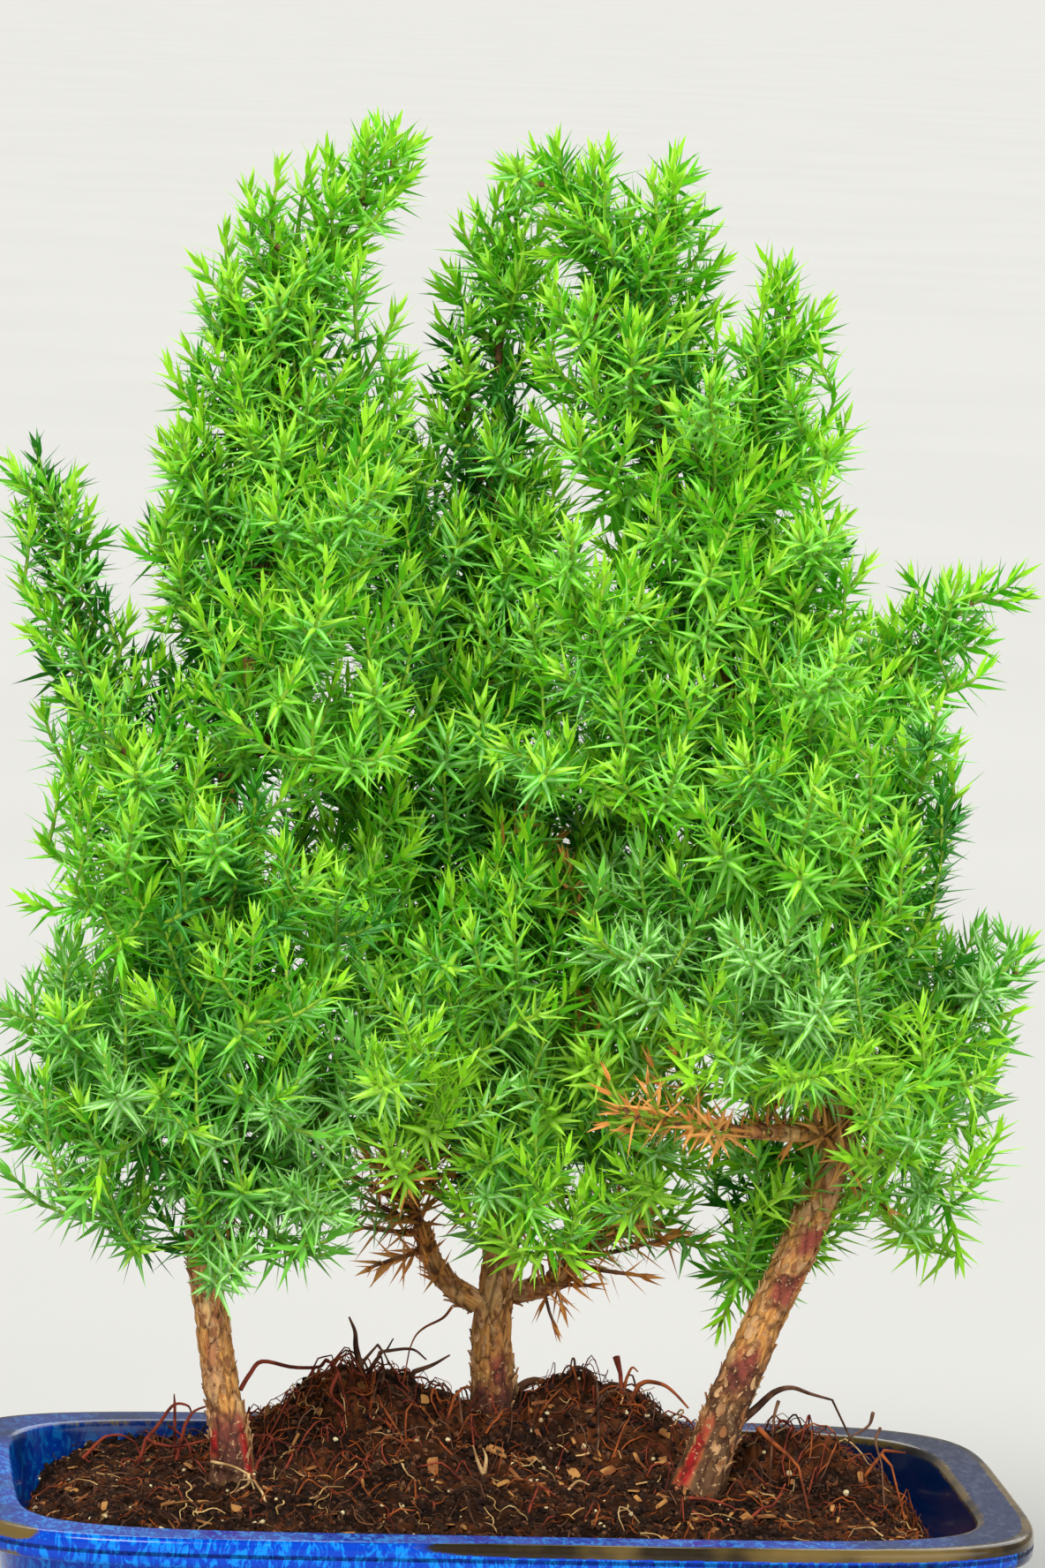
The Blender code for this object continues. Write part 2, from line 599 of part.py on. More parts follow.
def side_shoots(mass, stem, spaces, seed):
    """Lines of a mass's side shoots, each cut off where it would leave the mass's space."""
    dice = np.random.default_rng(seed)
    lengths = Limb(stem, np.zeros(len(stem))).lengths
    tangents, first, second = frames(stem)
    core = SHOOT_CORE + CLEAR
    shoots = []
    for index in range(mass.count):
        place = (index + 0.4) / mass.count
        around = seed + index * GOLDEN + dice.uniform(-0.25, 0.25)
        level = int(np.searchsorted(lengths, SHOOT_FIRST + place * (lengths[-1] - SHOOT_FIRST)))
        radial = around_line(first[level], second[level], around)
        leave = math.cos(SHOOT_ANGLE) * tangents[level] + math.sin(SHOOT_ANGLE) * radial
        length = mass.shoot * MM * dice.uniform(0.85, 1.15) * (SHOOT_LOWEST - SHOOT_LOSS * place)
        middle = stem[level] + 0.5 * length * leave
        end = middle + 0.5 * length * unit(leave + SHOOT_LIFT * UP)
        line = bezier(stem[level], middle, end, SHOOT_SAMPLES)
        inside = 1
        while inside < len(line) and spaces.off_limbs(line[inside], core) and (
                inside == 1 or spaces.holds(mass.name, line[inside], SHOOT_MARGIN)):
            inside += 1
        if length * (inside - 1) / (len(line) - 1) > SHOOT_SHORTEST:
            shoots.append((line[:inside], around))
    return shoots


def build_mass(mass, stem, spaces, seed):
    shoots = side_shoots(mass, stem, spaces, seed)
    lines = [stem] + [line for line, _ in shoots]

    def standing_on(line):
        others = np.concatenate([other for other in lines if other is not line] or [line + UP])

        def may_stand(root, tip):
            """Whether a needle keeps to the space, and off limbs and the other shoots."""
            half = 0.5 * (root + tip)
            if not all(spaces.off_limbs(point, LIMB_MARGIN) for point in (root, half, tip)):
                return False
            if not spaces.holds(mass.name, tip, NEEDLE_MARGIN):
                return False
            return all(np.linalg.norm(others - point, axis=1).min() > NEEDLE_CLEAR
                       for point in (half, tip))

        return may_stand

    points = ring_points(stem)
    radii = core_radii(mass, stem, len(points), spaces)
    body = spray(mass.name, stem, points, 0.0, radii, mass.shade, standing_on(stem))
    twigs = []
    for line, around in shoots:
        points = ring_points(line)
        radii = np.interp(np.linspace(0.0, 1.0, len(points)), (0.0, 0.2, 1.0),
                          (STEM_ROOT, SHOOT_CORE, CORE_END))
        radii = np.repeat(radii[:, None], PAIR_SIDES, axis=1)
        twigs.append(spray(mass.name + "_shoot", line, points, around, radii, mass.shade,
                           standing_on(line)))
    if twigs:
        boolean(body, twigs, "UNION", "MANIFOLD")
        keep_largest_body(body)
    return body


def main():
    clear_scene()
    build_pot()
    trunks = {name: trunk_limb(course) for name, course in TRUNKS.items()}
    build_soil(trunks)
    limbs = dict(trunks)
    for bough in BOUGHS:
        line = stem_line(trunks[bough.tree], bough.height, bough.azimuth, bough.reach, bough.rise,
                         bough.lift, bough.radius * MM, BOUGH_RINGS)
        limbs[bough.name] = Limb(line, np.linspace(bough.radius, bough.end, BOUGH_RINGS) * MM)
    stems = {}
    for mass in MASSES:
        size = (mass.azimuth, mass.reach, mass.rise, mass.lift)
        if mass.height is None:
            stems[mass.name] = tip_line(limbs[mass.start], *size, STEM_SAMPLES)
        else:
            stems[mass.name] = stem_line(trunks[mass.start], mass.height, *size, STEM_ROOT,
                                         STEM_SAMPLES, TIP_NEEDLES)
    spaces = Spaces(stems, [limb.resampled(LIMB_STEP) for limb in limbs.values()])
    for name, limb in trunks.items():
        build_limb(name + "_trunk", limb, TRUNK_SIDES, flat_foot=True)
    for bough in BOUGHS:
        build_limb(bough.name, limbs[bough.name], BOUGH_SIDES, flat_foot=False)
    for seed, mass in enumerate(MASSES, start=1):
        build_mass(mass, stems[mass.name], spaces, seed)


main()
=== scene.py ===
"""Looks of a forest planting of three young junipers in a shallow glazed tray pot.

World frame: the pot stands on z = 0 with its middle at the origin, its long side along X,
and the front of the planting faces -Y. Sizes in the tables are millimetres and degrees.
"""

import json
import logging
import math
from dataclasses import dataclass, field
from enum import Enum
from functools import cache
from typing import Any, Callable, Iterable, NamedTuple, Sequence

import bmesh
import bpy
import numpy as np
from bpy.types import Collection, Material, Node, NodeSocket, NodeTree, Object
from mathutils import Matrix, Vector, noise

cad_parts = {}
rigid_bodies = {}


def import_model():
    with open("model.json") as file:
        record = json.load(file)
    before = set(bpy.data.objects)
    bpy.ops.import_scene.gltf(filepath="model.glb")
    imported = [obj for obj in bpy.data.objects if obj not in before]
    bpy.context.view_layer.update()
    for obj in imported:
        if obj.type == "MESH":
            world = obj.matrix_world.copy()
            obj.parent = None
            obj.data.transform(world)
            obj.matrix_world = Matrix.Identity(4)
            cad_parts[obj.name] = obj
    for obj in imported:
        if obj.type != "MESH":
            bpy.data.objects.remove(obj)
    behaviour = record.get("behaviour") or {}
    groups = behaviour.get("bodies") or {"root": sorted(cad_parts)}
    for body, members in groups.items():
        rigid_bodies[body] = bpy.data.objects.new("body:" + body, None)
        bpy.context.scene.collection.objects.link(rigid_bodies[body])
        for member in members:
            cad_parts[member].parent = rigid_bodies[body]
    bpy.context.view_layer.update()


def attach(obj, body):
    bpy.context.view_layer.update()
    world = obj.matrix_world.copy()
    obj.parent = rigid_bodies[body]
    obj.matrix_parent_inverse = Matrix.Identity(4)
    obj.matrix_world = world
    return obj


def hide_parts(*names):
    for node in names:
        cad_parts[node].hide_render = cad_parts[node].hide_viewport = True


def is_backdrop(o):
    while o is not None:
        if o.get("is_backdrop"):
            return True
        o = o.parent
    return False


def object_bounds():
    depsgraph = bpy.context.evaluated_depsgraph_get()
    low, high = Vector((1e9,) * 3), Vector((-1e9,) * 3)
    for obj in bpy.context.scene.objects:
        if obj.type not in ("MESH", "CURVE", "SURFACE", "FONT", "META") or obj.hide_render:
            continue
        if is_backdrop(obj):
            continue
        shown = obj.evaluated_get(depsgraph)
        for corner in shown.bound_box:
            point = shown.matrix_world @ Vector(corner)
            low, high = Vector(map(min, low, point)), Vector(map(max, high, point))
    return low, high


LOG = logging.getLogger("forest")
MM = 0.001
UP = np.array((0.0, 0.0, 1.0))
GOLDEN = math.radians(137.5)

Colour = tuple[float, float, float]
Line = np.ndarray


class Shade(Enum):
    """Greens and browns that the sprays are dealt."""

    YOUNG = "young"
    BRIGHT = "bright"
    MID = "mid"
    DEEP = "deep"
    BLUE = "blue"
    DEAD = "dead"


YOUNG, BRIGHT, MID, DEEP, BLUE, DEAD = Shade


class Kind(Enum):
    """What a stem is clad in."""

    WOODY = "woody"
    GREEN = "green"


class Bough(NamedTuple):
    """Where a bough leaves its trunk, which way and how far it goes, and its two radii."""

    name: str
    tree: str
    height: float
    azimuth: float
    reach: float
    rise: float
    lift: float
    radius: float
    end: float


class Mass(NamedTuple):
    """A mass of foliage: its stem's start and course, its longest side shoot and its shade."""

    name: str
    start: str
    height: float | None
    azimuth: float
    reach: float
    rise: float
    lift: float
    shoot: float
    count: int
    shade: Shade

    @property
    def tree(self) -> str:
        """The tree that the mass belongs to."""
        return self.name.split("_")[0]


TRUNKS = {
    "left": ((52.0, -48.2, -4.0, 3.9), (79.0, -53.4, -3.0, 3.5), (105.0, -56.4, -2.0, 3.2),
             (162.0, -55.6, 2.0, 2.5), (225.0, -47.4, 3.0, 1.7), (262.0, -42.6, 1.0, 1.1)),
    "centre": ((60.0, 2.9, 22.0, 4.5), (76.0, 1.8, 22.0, 4.1), (92.0, 3.0, 22.0, 3.8),
               (135.0, -0.5, 23.0, 3.0), (205.0, -3.0, 24.0, 1.9), (258.0, -3.6, 24.0, 1.1)),
    "right": ((51.0, 39.2, -6.0, 4.8), (76.0, 48.6, -4.0, 4.2), (107.0, 61.4, -2.0, 3.9),
              (124.0, 63.8, 0.0, 3.6), (165.0, 53.4, 3.0, 2.9), (225.0, 32.5, 3.0, 1.8),
              (270.0, 19.4, 1.0, 1.1)),
}
BOUGHS = (
    Bough("centre_low_bough_left", "centre", 80, 187, 15, 15, 0.25, 2.4, 1.6),
    Bough("centre_low_bough_right", "centre", 83, -12, 15, 6, 0.2, 2.2, 1.5),
    Bough("right_dead_bough", "right", 118, 213, 24, 2, 0.3, 1.8, 1.2),
)
MASSES = (
    Mass("left_leader_tip", "left", None, 4, 24, 42, 0.35, 12, 4, BRIGHT),
    Mass("left_crown_tip", "left", 250, -125, 7, 44, 0.1, 15, 4, BRIGHT),
    Mass("left_crown_left", "left", 240, -158, 12, 46, 0.15, 17, 5, BRIGHT),
    Mass("left_upper_right", "left", 232, 12, 23, 31, 0.2, 19, 4, BRIGHT),
    Mass("left_shoulder", "left", 212, -150, 15, 49, 0.15, 19, 5, BRIGHT),
    Mass("left_plume", "left", 184, -64, 40, 64, 0.12, 31, 7, BRIGHT),
    Mass("left_upper_front", "left", 222, -84, 14, 44, 0.12, 22, 4, BRIGHT),
    Mass("left_wand", "left", 164, 172, 38, 86, 0.25, 16, 4, MID),
    Mass("left_mid", "left", 152, -128, 32, 47, 0.15, 30, 6, BRIGHT),
    Mass("left_low_front", "left", 126, -84, 32, 58, 0.15, 33, 7, MID),
    Mass("left_lower_right", "left", 112, -30, 44, 24, 0.2, 33, 5, BLUE),
    Mass("left_lower_left", "left", 118, -160, 34, 26, 0.2, 32, 5, BLUE),
    Mass("left_lowest_left", "left", 110, 168, 37, 12, 0.6, 23, 4, BLUE),
    Mass("left_lowest_right", "left", 105, -40, 33, 6, -0.1, 21, 4, BLUE),
    Mass("left_upper_back", "left", 198, 80, 27, 38, 0.15, 30, 5, MID),
    Mass("left_low_back", "left", 128, 96, 42, 34, 0.2, 35, 5, MID),
    Mass("centre_leader_tip", "centre", None, 0, 1, 37, 0.5, 12, 4, BRIGHT),
    Mass("centre_crown_left", "centre", 238, -158, 8, 28, 0.2, 16, 4, BRIGHT),
    Mass("centre_crown_right", "centre", 208, 62, 9, 44, 0.15, 17, 4, BRIGHT),
    Mass("centre_upper_left", "centre", 200, -155, 24, 50, 0.15, 29, 6, MID),
    Mass("centre_upper_front", "centre", 204, -78, 14, 46, 0.12, 22, 4, BRIGHT),
    Mass("centre_mid_left", "centre", 150, 176, 30, 46, 0.2, 31, 6, MID),
    Mass("centre_mid_right", "centre", 146, -4, 28, 44, 0.2, 31, 6, MID),
    Mass("centre_mid_front", "centre", 162, -104, 26, 52, 0.15, 31, 6, MID),
    Mass("centre_plume_left", "centre", 128, -132, 46, 50, 0.15, 30, 6, BRIGHT),
    Mass("centre_plume_right", "centre", 122, -97, 32, 56, 0.15, 29, 6, BRIGHT),
    Mass("centre_low_front", "centre", 114, -56, 42, 34, 0.2, 29, 6, BRIGHT),
    Mass("centre_low_drop", "centre", 112, -86, 34, -14, -0.5, 24, 4, BLUE),
    Mass("centre_low_right", "centre", 112, -24, 42, -6, -0.4, 27, 5, BLUE),
    Mass("centre_upper_back", "centre", 178, 86, 29, 44, 0.15, 30, 5, MID),
    Mass("centre_low_back", "centre", 124, 72, 34, 40, 0.2, 32, 5, MID),
    Mass("centre_tuft_left", "centre_low_bough_left", None, 160, 8, 15, 0.3, 11, 4, DEAD),
    Mass("centre_tuft_right", "centre_low_bough_right", None, -8, 26, 3, 0.3, 16, 5, DEAD),
    Mass("right_bent_tip", "right", None, 178, 27, 27, 0.45, 13, 4, BRIGHT),
    Mass("right_crown_tip", "right", 248, 96, 7, 57, 0.06, 17, 5, BRIGHT),
    Mass("right_crown_left", "right", 246, -150, 21, 36, 0.2, 22, 4, BRIGHT),
    Mass("right_upper", "right", 226, 8, 19, 58, 0.1, 22, 5, BRIGHT),
    Mass("right_upper_front", "right", 208, -104, 24, 52, 0.15, 29, 5, BRIGHT),
    Mass("right_shoulder", "right", 192, -66, 21, 50, 0.15, 21, 6, BRIGHT),
    Mass("right_long_left", "right", 178, -146, 56, 54, 0.25, 31, 7, BRIGHT),
    Mass("right_far", "right", 180, 5, 43, 47, 0.45, 19, 5, BRIGHT),
    Mass("right_mid_front", "right", 160, -96, 42, 52, 0.15, 32, 6, BRIGHT),
    Mass("right_mid", "right", 142, -46, 24, 60, 0.1, 23, 6, MID),
    Mass("right_lower", "right", 134, -8, 41, 20, 0.3, 19, 5, BLUE),
    Mass("right_drop", "right", 114, 12, 28, -27, -0.4, 19, 4, BLUE),
    Mass("right_low_left", "right", 142, -152, 47, 26, 0.15, 30, 6, BLUE),
    Mass("right_lower_left", "right", 126, -114, 44, 34, 0.15, 31, 6, BLUE),
    Mass("right_drop_left", "right", 110, 122, 22, -32, -0.3, 21, 4, MID),
    Mass("right_upper_back", "right", 206, 84, 27, 44, 0.15, 30, 5, MID),
    Mass("right_mid_back", "right", 160, 98, 40, 40, 0.15, 32, 5, MID),
    Mass("right_low_back", "right", 126, 34, 36, 14, 0.2, 25, 5, BLUE),
    Mass("right_dead_spray", "right_dead_bough", None, 199, 31, 5, 0.3, 13, 8, DEAD),
)


# Lines and limbs


def unit(vector: np.ndarray) -> np.ndarray:
    """The vector at length one."""
    return vector / np.linalg.norm(vector)


def heading(azimuth: float) -> np.ndarray:
    """The level direction at an azimuth in degrees."""
    turn = math.radians(azimuth)
    return np.array((math.cos(turn), math.sin(turn), 0.0))


def smooth_line(points: Sequence[Sequence[float]], count: int) -> Line:
    """Draw a Catmull-Rom line through points.

    Args:
        points: the points, each with any number of values.
        count: how many samples to return.

    Returns:
        The samples, one a row.
    """
    through = np.array(points, dtype=float)
    padded = np.vstack((2 * through[0] - through[1], through, 2 * through[-1] - through[-2]))
    spans = len(through) - 1
    line = []
    for place in np.linspace(0.0, spans, count):
        span = min(int(place), spans - 1)
        t = place - span
        a, b, c, d = padded[span:span + 4]
        line.append(0.5 * (2 * b + (c - a) * t + (2 * a - 5 * b + 4 * c - d) * t * t
                           + (3 * b - a - 3 * c + d) * t ** 3))
    return np.array(line)


def bezier(start: np.ndarray, middle: np.ndarray, end: np.ndarray, count: int,
           short: float = 0.0) -> Line:
    """Draw a curve that turns once.

    Args:
        start: first point.
        middle: the point it turns towards.
        end: last point.
        count: how many samples to return.
        short: length by which it stops short of its end.

    Returns:
        The samples.
    """
    stop = 1.0 - short / (np.linalg.norm(end - middle) + np.linalg.norm(middle - start))
    t = np.linspace(0.0, stop, count)[:, None]
    return (1 - t) ** 2 * start + 2 * t * (1 - t) * middle + t ** 2 * end


def lengths_of(points: Line) -> np.ndarray:
    """Length along a line at each of its points."""
    spans = np.linalg.norm(np.diff(points[:, :3], axis=0), axis=1)
    return np.concatenate(([0.0], np.cumsum(spans)))


def frames(points: Line) -> tuple[np.ndarray, np.ndarray, np.ndarray]:
    """Carry a frame along a line without twist.

    Args:
        points: the line.

    Returns:
        Tangent and two cross directions at each point.
    """
    tangents = np.gradient(points, axis=0)
    tangents /= np.linalg.norm(tangents, axis=1)[:, None]
    side = np.cross(tangents[0], (0.35, -0.9, 0.25))
    sides = []
    for tangent in tangents:
        side = unit(side - tangent * np.dot(side, tangent))
        sides.append(side)
    across = np.array(sides)
    return tangents, across, np.cross(tangents, across)


def around_line(first: np.ndarray, second: np.ndarray, turn: float) -> np.ndarray:
    """The cross direction at an angle round a line."""
    return math.cos(turn) * first + math.sin(turn) * second


def round_turns(count: int) -> np.ndarray:
    """Angles evenly spaced round a circle."""
    return np.linspace(0.0, 2.0 * math.pi, count, endpoint=False)


def points_at(places: Any, lengths: np.ndarray, line: Line) -> np.ndarray:
    """Points at places along a line, measured as its own points are."""
    return np.stack([np.interp(places, lengths, line[:, axis]) for axis in range(3)], axis=-1)


def eased(value: Any, start: float, span: float) -> Any:
    """How far a value has gone from a start over a span, from 0 to 1."""
    return np.clip((value - start) / span, 0.0, 1.0)


def hill(x: float, y: float, at_x: float, at_y: float, radius: float) -> float:
    """Height at a place of a round hill one high."""
    return math.exp(-((x - at_x) ** 2 + (y - at_y) ** 2) / radius ** 2)


class Limb:
    """A tapering limb along a smooth line."""

    def __init__(self, points: Line, radii: np.ndarray) -> None:
        """Keep the line and measure it.

        Args:
            points: the limb's middle line.
            radii: its radius at each point.
        """
        self.points = np.array(points)
        self.radii = np.array(radii)
        self.lengths = lengths_of(self.points)

    @property
    def length(self) -> float:
        """The limb's whole length."""
        return float(self.lengths[-1])

    def at(self, length: float) -> tuple[np.ndarray, float]:
        """Point and radius at a length along the limb."""
        radius = float(np.interp(length, self.lengths, self.radii))
        return points_at(length, self.lengths, self.points), radius

    def direction(self, length: float) -> np.ndarray:
        """Direction of the limb at a place.

        Args:
            length: length along the limb.

        Returns:
            The direction.
        """
        step = 0.5 * MM
        length = min(max(length, step), self.length - step)
        return unit(self.at(length + step)[0] - self.at(length - step)[0])

    def length_at_height(self, height: float) -> float:
        """Length along the limb at which it passes a height."""
        return float(np.interp(height, self.points[:, 2], self.lengths))

    def resampled(self, step: float) -> "Limb":
        """Make the same limb with its points evenly spaced.

        Args:
            step: distance between the points.

        Returns:
            The limb.
        """
        count = max(2, int(round(self.length / step)) + 1)
        places = [self.at(length) for length in np.linspace(0.0, self.length, count)]
        return Limb(np.array([point for point, _ in places]),
                    np.array([radius for _, radius in places]))


# Meshes


def linked(name: str, data: Any) -> Object:
    """Link a new object to the scene, at the origin.

    Args:
        name: its name.
        data: its mesh, light or camera.

    Returns:
        The object.
    """
    made = bpy.data.objects.new(name, data)
    bpy.context.scene.collection.objects.link(made)
    return made


def new_piece(name: str, vertices: Any, faces: Any, materials: Iterable[Material] = (),
              smooth: bool = False, edges: Any = ()) -> Object:
    """Make a mesh object at the origin.

    Args:
        name: name of the object and its mesh.
        vertices: its points, in metres.
        faces: its faces, as tuples of point numbers.
        materials: the materials in its slots.
        smooth: whether its faces are shaded smooth.
        edges: loose edges, for a mesh of lines.

    Returns:
        The object, linked to the scene.
    """
    mesh = bpy.data.meshes.new(name)
    mesh.from_pydata([tuple(v) for v in vertices], list(edges), [tuple(f) for f in faces])
    for item in materials:
        mesh.materials.append(item)
    if smooth:
        mesh.shade_smooth()
    mesh.update()
    return linked(name, mesh)


def loft(rings: Sequence[Any], closed_start: bool = True,
         closed_end: bool = True) -> tuple[list[Any], list[tuple[int, ...]]]:
    """Join rings of equal count by faces.

    Args:
        rings: the rings, each anticlockwise about the direction they follow.
        closed_start: whether the first ring gets a cap.
        closed_end: whether the last ring gets a cap.

    Returns:
        Points and faces.
    """
    count = len(rings[0])
    faces: list[tuple[int, ...]] = []
    for level in range(len(rings) - 1):
        low, high = level * count, (level + 1) * count
        for side in range(count):
            after = (side + 1) % count
            faces.append((low + side, low + after, high + after, high + side))
    if closed_start:
        faces.append(tuple(range(count - 1, -1, -1)))
    if closed_end:
        faces.append(tuple(range((len(rings) - 1) * count, len(rings) * count)))
    return [point for ring in rings for point in ring], faces


def store(item: Object, name: str, values: Any, domain: str = "POINT") -> None:
    """Keep one number for each point or face of a piece, for its material or node tree."""
    kept = item.data.attributes.new(name, "FLOAT", domain)
    kept.data.foreach_set("value", np.asarray(values, dtype=np.float32))


def store_flags(item: Object, name: str, values: Sequence[bool]) -> None:
    """Keep one flag for each face of a piece."""
    kept = item.data.attributes.new(name, "BOOLEAN", "FACE")
    kept.data.foreach_set("value", list(values))


def store_directions(item: Object, name: str, values: Any) -> None:
    """Keep one direction for each point of a piece."""
    kept = item.data.attributes.new(name, "FLOAT_VECTOR", "POINT")
    kept.data.foreach_set("vector", np.asarray(values, dtype=np.float32).reshape(-1))


def joined(name: str, items: list[Object]) -> Object:
    """Join several objects into the first.

    Args:
        name: the name of the result.
        items: the objects.

    Returns:
        The joined object.
    """
    with bpy.context.temp_override(active_object=items[0], object=items[0],
                                   selected_editable_objects=items, selected_objects=items):
        bpy.ops.object.join()
    items[0].name = name
    items[0].data.name = name
    return items[0]


def settle(piece: Object, slot: str | None = None, nodes: Sequence[str] = ()) -> None:
    """Let a piece ride on the planting and report it.

    Args:
        piece: the piece.
        slot: its finish's slot; not used.
        nodes: the solids' nodes that it stands for.
    """
    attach(piece, "root")
    if nodes:
        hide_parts(*nodes)
    triangles = sum(len(face.vertices) - 2 for face in piece.data.polygons)
    LOG.info("%-28s %7d triangles", piece.name, triangles)


# Node trees


class Nodes:
    """Adds and links the nodes of one tree."""

    def __init__(self, tree: NodeTree) -> None:
        """Keep the tree."""
        self.tree = tree

    @staticmethod
    def socket(sockets: Any, key: int | str) -> NodeSocket:
        """The socket in use that has a number or a name."""
        found = (item for item in sockets if item.enabled and item.name == key)
        return sockets[key] if isinstance(key, int) else next(found)

    def add(self, kind: str, inputs: dict[int | str, Any], **settings: Any) -> Node:
        """Add one node.

        Args:
            kind: the node's type.
            inputs: for each input's name or number, a value or the socket that feeds it.
            **settings: the node's own settings.

        Returns:
            The node.
        """
        made = self.tree.nodes.new(kind)
        for key, value in settings.items():
            setattr(made, key, value)
        for key, value in inputs.items():
            target = self.socket(made.inputs, key)
            if isinstance(value, NodeSocket):
                self.tree.links.new(value, target)
            else:
                target.default_value = value
        return made

    def out(self, kind: str, inputs: dict[int | str, Any], output: str = "",
            **settings: Any) -> NodeSocket:
        """Add one node and return its output of that name, or its first in use."""
        made = self.add(kind, inputs, **settings).outputs
        return self.socket(made, output) if output else next(item for item in made if item.enabled)

    def feed(self, node: Node, name: str, value: NodeSocket) -> None:
        """Link a socket to a node's input of that name."""
        self.tree.links.new(value, node.inputs[name])

    def math(self, operation: str, first: Any, second: Any = 0.0) -> NodeSocket:
        """The result of an operation on two numbers."""
        return self.out("ShaderNodeMath", {0: first, 1: second}, operation=operation)

    def plus(self, first: Any, second: Any) -> NodeSocket:
        """The sum of two numbers."""
        return self.math("ADD", first, second)

    def times(self, first: Any, second: Any) -> NodeSocket:
        """The product of two numbers."""
        return self.math("MULTIPLY", first, second)

    def ramp(self, value: Any, low: Any, high: Any, start: float = 0.0,
             stop: float = 1.0) -> NodeSocket:
        """A value eased from one range into another."""
        span = {"Value": value, "From Min": low, "From Max": high, "To Min": start, "To Max": stop}
        return self.out("ShaderNodeMapRange", span, interpolation_type="SMOOTHSTEP")

    def mix(self, factor: Any, first: Any, second: Any) -> NodeSocket:
        """Mix two colours.

        Args:
            factor: share of the second.
            first: one colour, a socket or three numbers.
            second: the other colour, a socket or three numbers.

        Returns:
            The mixed colour.
        """
        ends = [item if isinstance(item, NodeSocket) else (*item, 1.0)
                for item in (first, second)]
        return self.out("ShaderNodeMix", {"Factor": factor, "A": ends[0], "B": ends[1]},
                        data_type="RGBA")

    def attribute(self, name: str) -> NodeSocket:
        """A number kept on the piece, for a material."""
        return self.out("ShaderNodeAttribute", {}, "Fac", attribute_name=name)

    def place(self, stretch: tuple[float, float, float] = (1.0, 1.0, 1.0)) -> NodeSocket:
        """Object coordinates, stretched."""
        here = self.out("ShaderNodeTexCoord", {}, "Object")
        return self.out("ShaderNodeMapping", {"Vector": here, "Scale": stretch})

    def noise(self, scale: Any, vector: Any, **more: float) -> NodeSocket:
        """A noise of some scale."""
        return self.out("ShaderNodeTexNoise", {"Vector": vector, "Scale": scale, **more})

    def effect(self, group: NodeTree, vector: Any, **values: float) -> Any:
        """Place a shared group and return its outputs."""
        return self.add("ShaderNodeGroup", {"Vector": vector, **values}, node_tree=group).outputs

    def bump(self, shader: Node, height: Any, strength: float, depth: float) -> None:
        """Give a shader fine relief."""
        given = {"Strength": strength, "Distance": depth, "Height": height}
        self.feed(shader, "Normal", self.out("ShaderNodeBump", given))

    def named(self, name: Any, kind: str = "FLOAT") -> NodeSocket:
        """What is kept on the piece under a name, for a geometry tree."""
        return self.out("GeometryNodeInputNamedAttribute", {"Name": name}, data_type=kind)

    def chance(self, seed: Any, step: int, low: Any, high: Any) -> NodeSocket:
        """A random number for each point, from the tree's seed and a step of its own."""
        given = {"Min": low, "Max": high, "Seed": self.math("ADD", seed, float(step))}
        return self.out("FunctionNodeRandomValue", given, data_type="FLOAT")

    def turned(self, rotation: Any, angles: dict[str, Any]) -> NodeSocket:
        """Turn a rotation about its own axes.

        Args:
            rotation: the rotation.
            angles: the angle about each axis, in radians.

        Returns:
            The turned rotation.
        """
        euler = self.out("ShaderNodeCombineXYZ", angles)
        given = {"Rotation": rotation,
                 "Rotate By": self.out("FunctionNodeEulerToRotation", {"Euler": euler})}
        return self.out("FunctionNodeRotateRotation", given, rotation_space="LOCAL")

    def planted(self, points: Any, patterns: Any, most: Any, seed: Any, rotation: Any,
                scale: Any) -> NodeSocket:
        """Stand patterns from a collection on points, and make them real.

        Args:
            points: the points.
            patterns: the collection.
            most: number of its last pattern.
            seed: seed of the choice among them.
            rotation: how each is turned.
            scale: its size.

        Returns:
            The geometry.
        """
        pick = self.out("FunctionNodeRandomValue", {"Min": 0, "Max": most, "Seed": seed},
                        data_type="INT")
        items = self.out("GeometryNodeCollectionInfo", {
            "Collection": patterns, "Separate Children": True, "Reset Children": True})
        made = self.out("GeometryNodeInstanceOnPoints", {
            "Points": points, "Instance": items, "Pick Instance": True, "Instance Index": pick,
            "Rotation": rotation, "Scale": scale})
        return self.out("GeometryNodeRealizeInstances", {"Geometry": made})

    def skinned(self, made: Any, skin: Any, **chosen: Any) -> NodeSocket:
        """Geometry with a material set on it, or on a selection."""
        return self.out("GeometryNodeSetMaterial", {"Geometry": made, "Material": skin, **chosen})


def new_group(kind: str, name: str, inputs: dict[str, Any],
              outputs: dict[str, str]) -> tuple[Nodes, Any, Node]:
    """Start a node group.

    Args:
        kind: the tree's type.
        name: the group's name.
        inputs: each input's first number, or its kind of socket where it isn't a number.
        outputs: each output's kind of socket.

    Returns:
        The nodes, the group's own inputs, and the node that takes its outputs.
    """
    tree = bpy.data.node_groups.new(name, kind)
    for label, value in inputs.items():
        socket = value if isinstance(value, str) else type(value).__name__.capitalize()
        made = tree.interface.new_socket(label, in_out="INPUT", socket_type="NodeSocket" + socket)
        if not isinstance(value, str):
            made.default_value = value
    for label, socket in outputs.items():
        tree.interface.new_socket(label, in_out="OUTPUT", socket_type="NodeSocket" + socket)
    if kind == "GeometryNodeTree":
        tree.is_modifier = True
    nodes = Nodes(tree)
    return nodes, nodes.add("NodeGroupInput", {}).outputs, nodes.add("NodeGroupOutput", {})


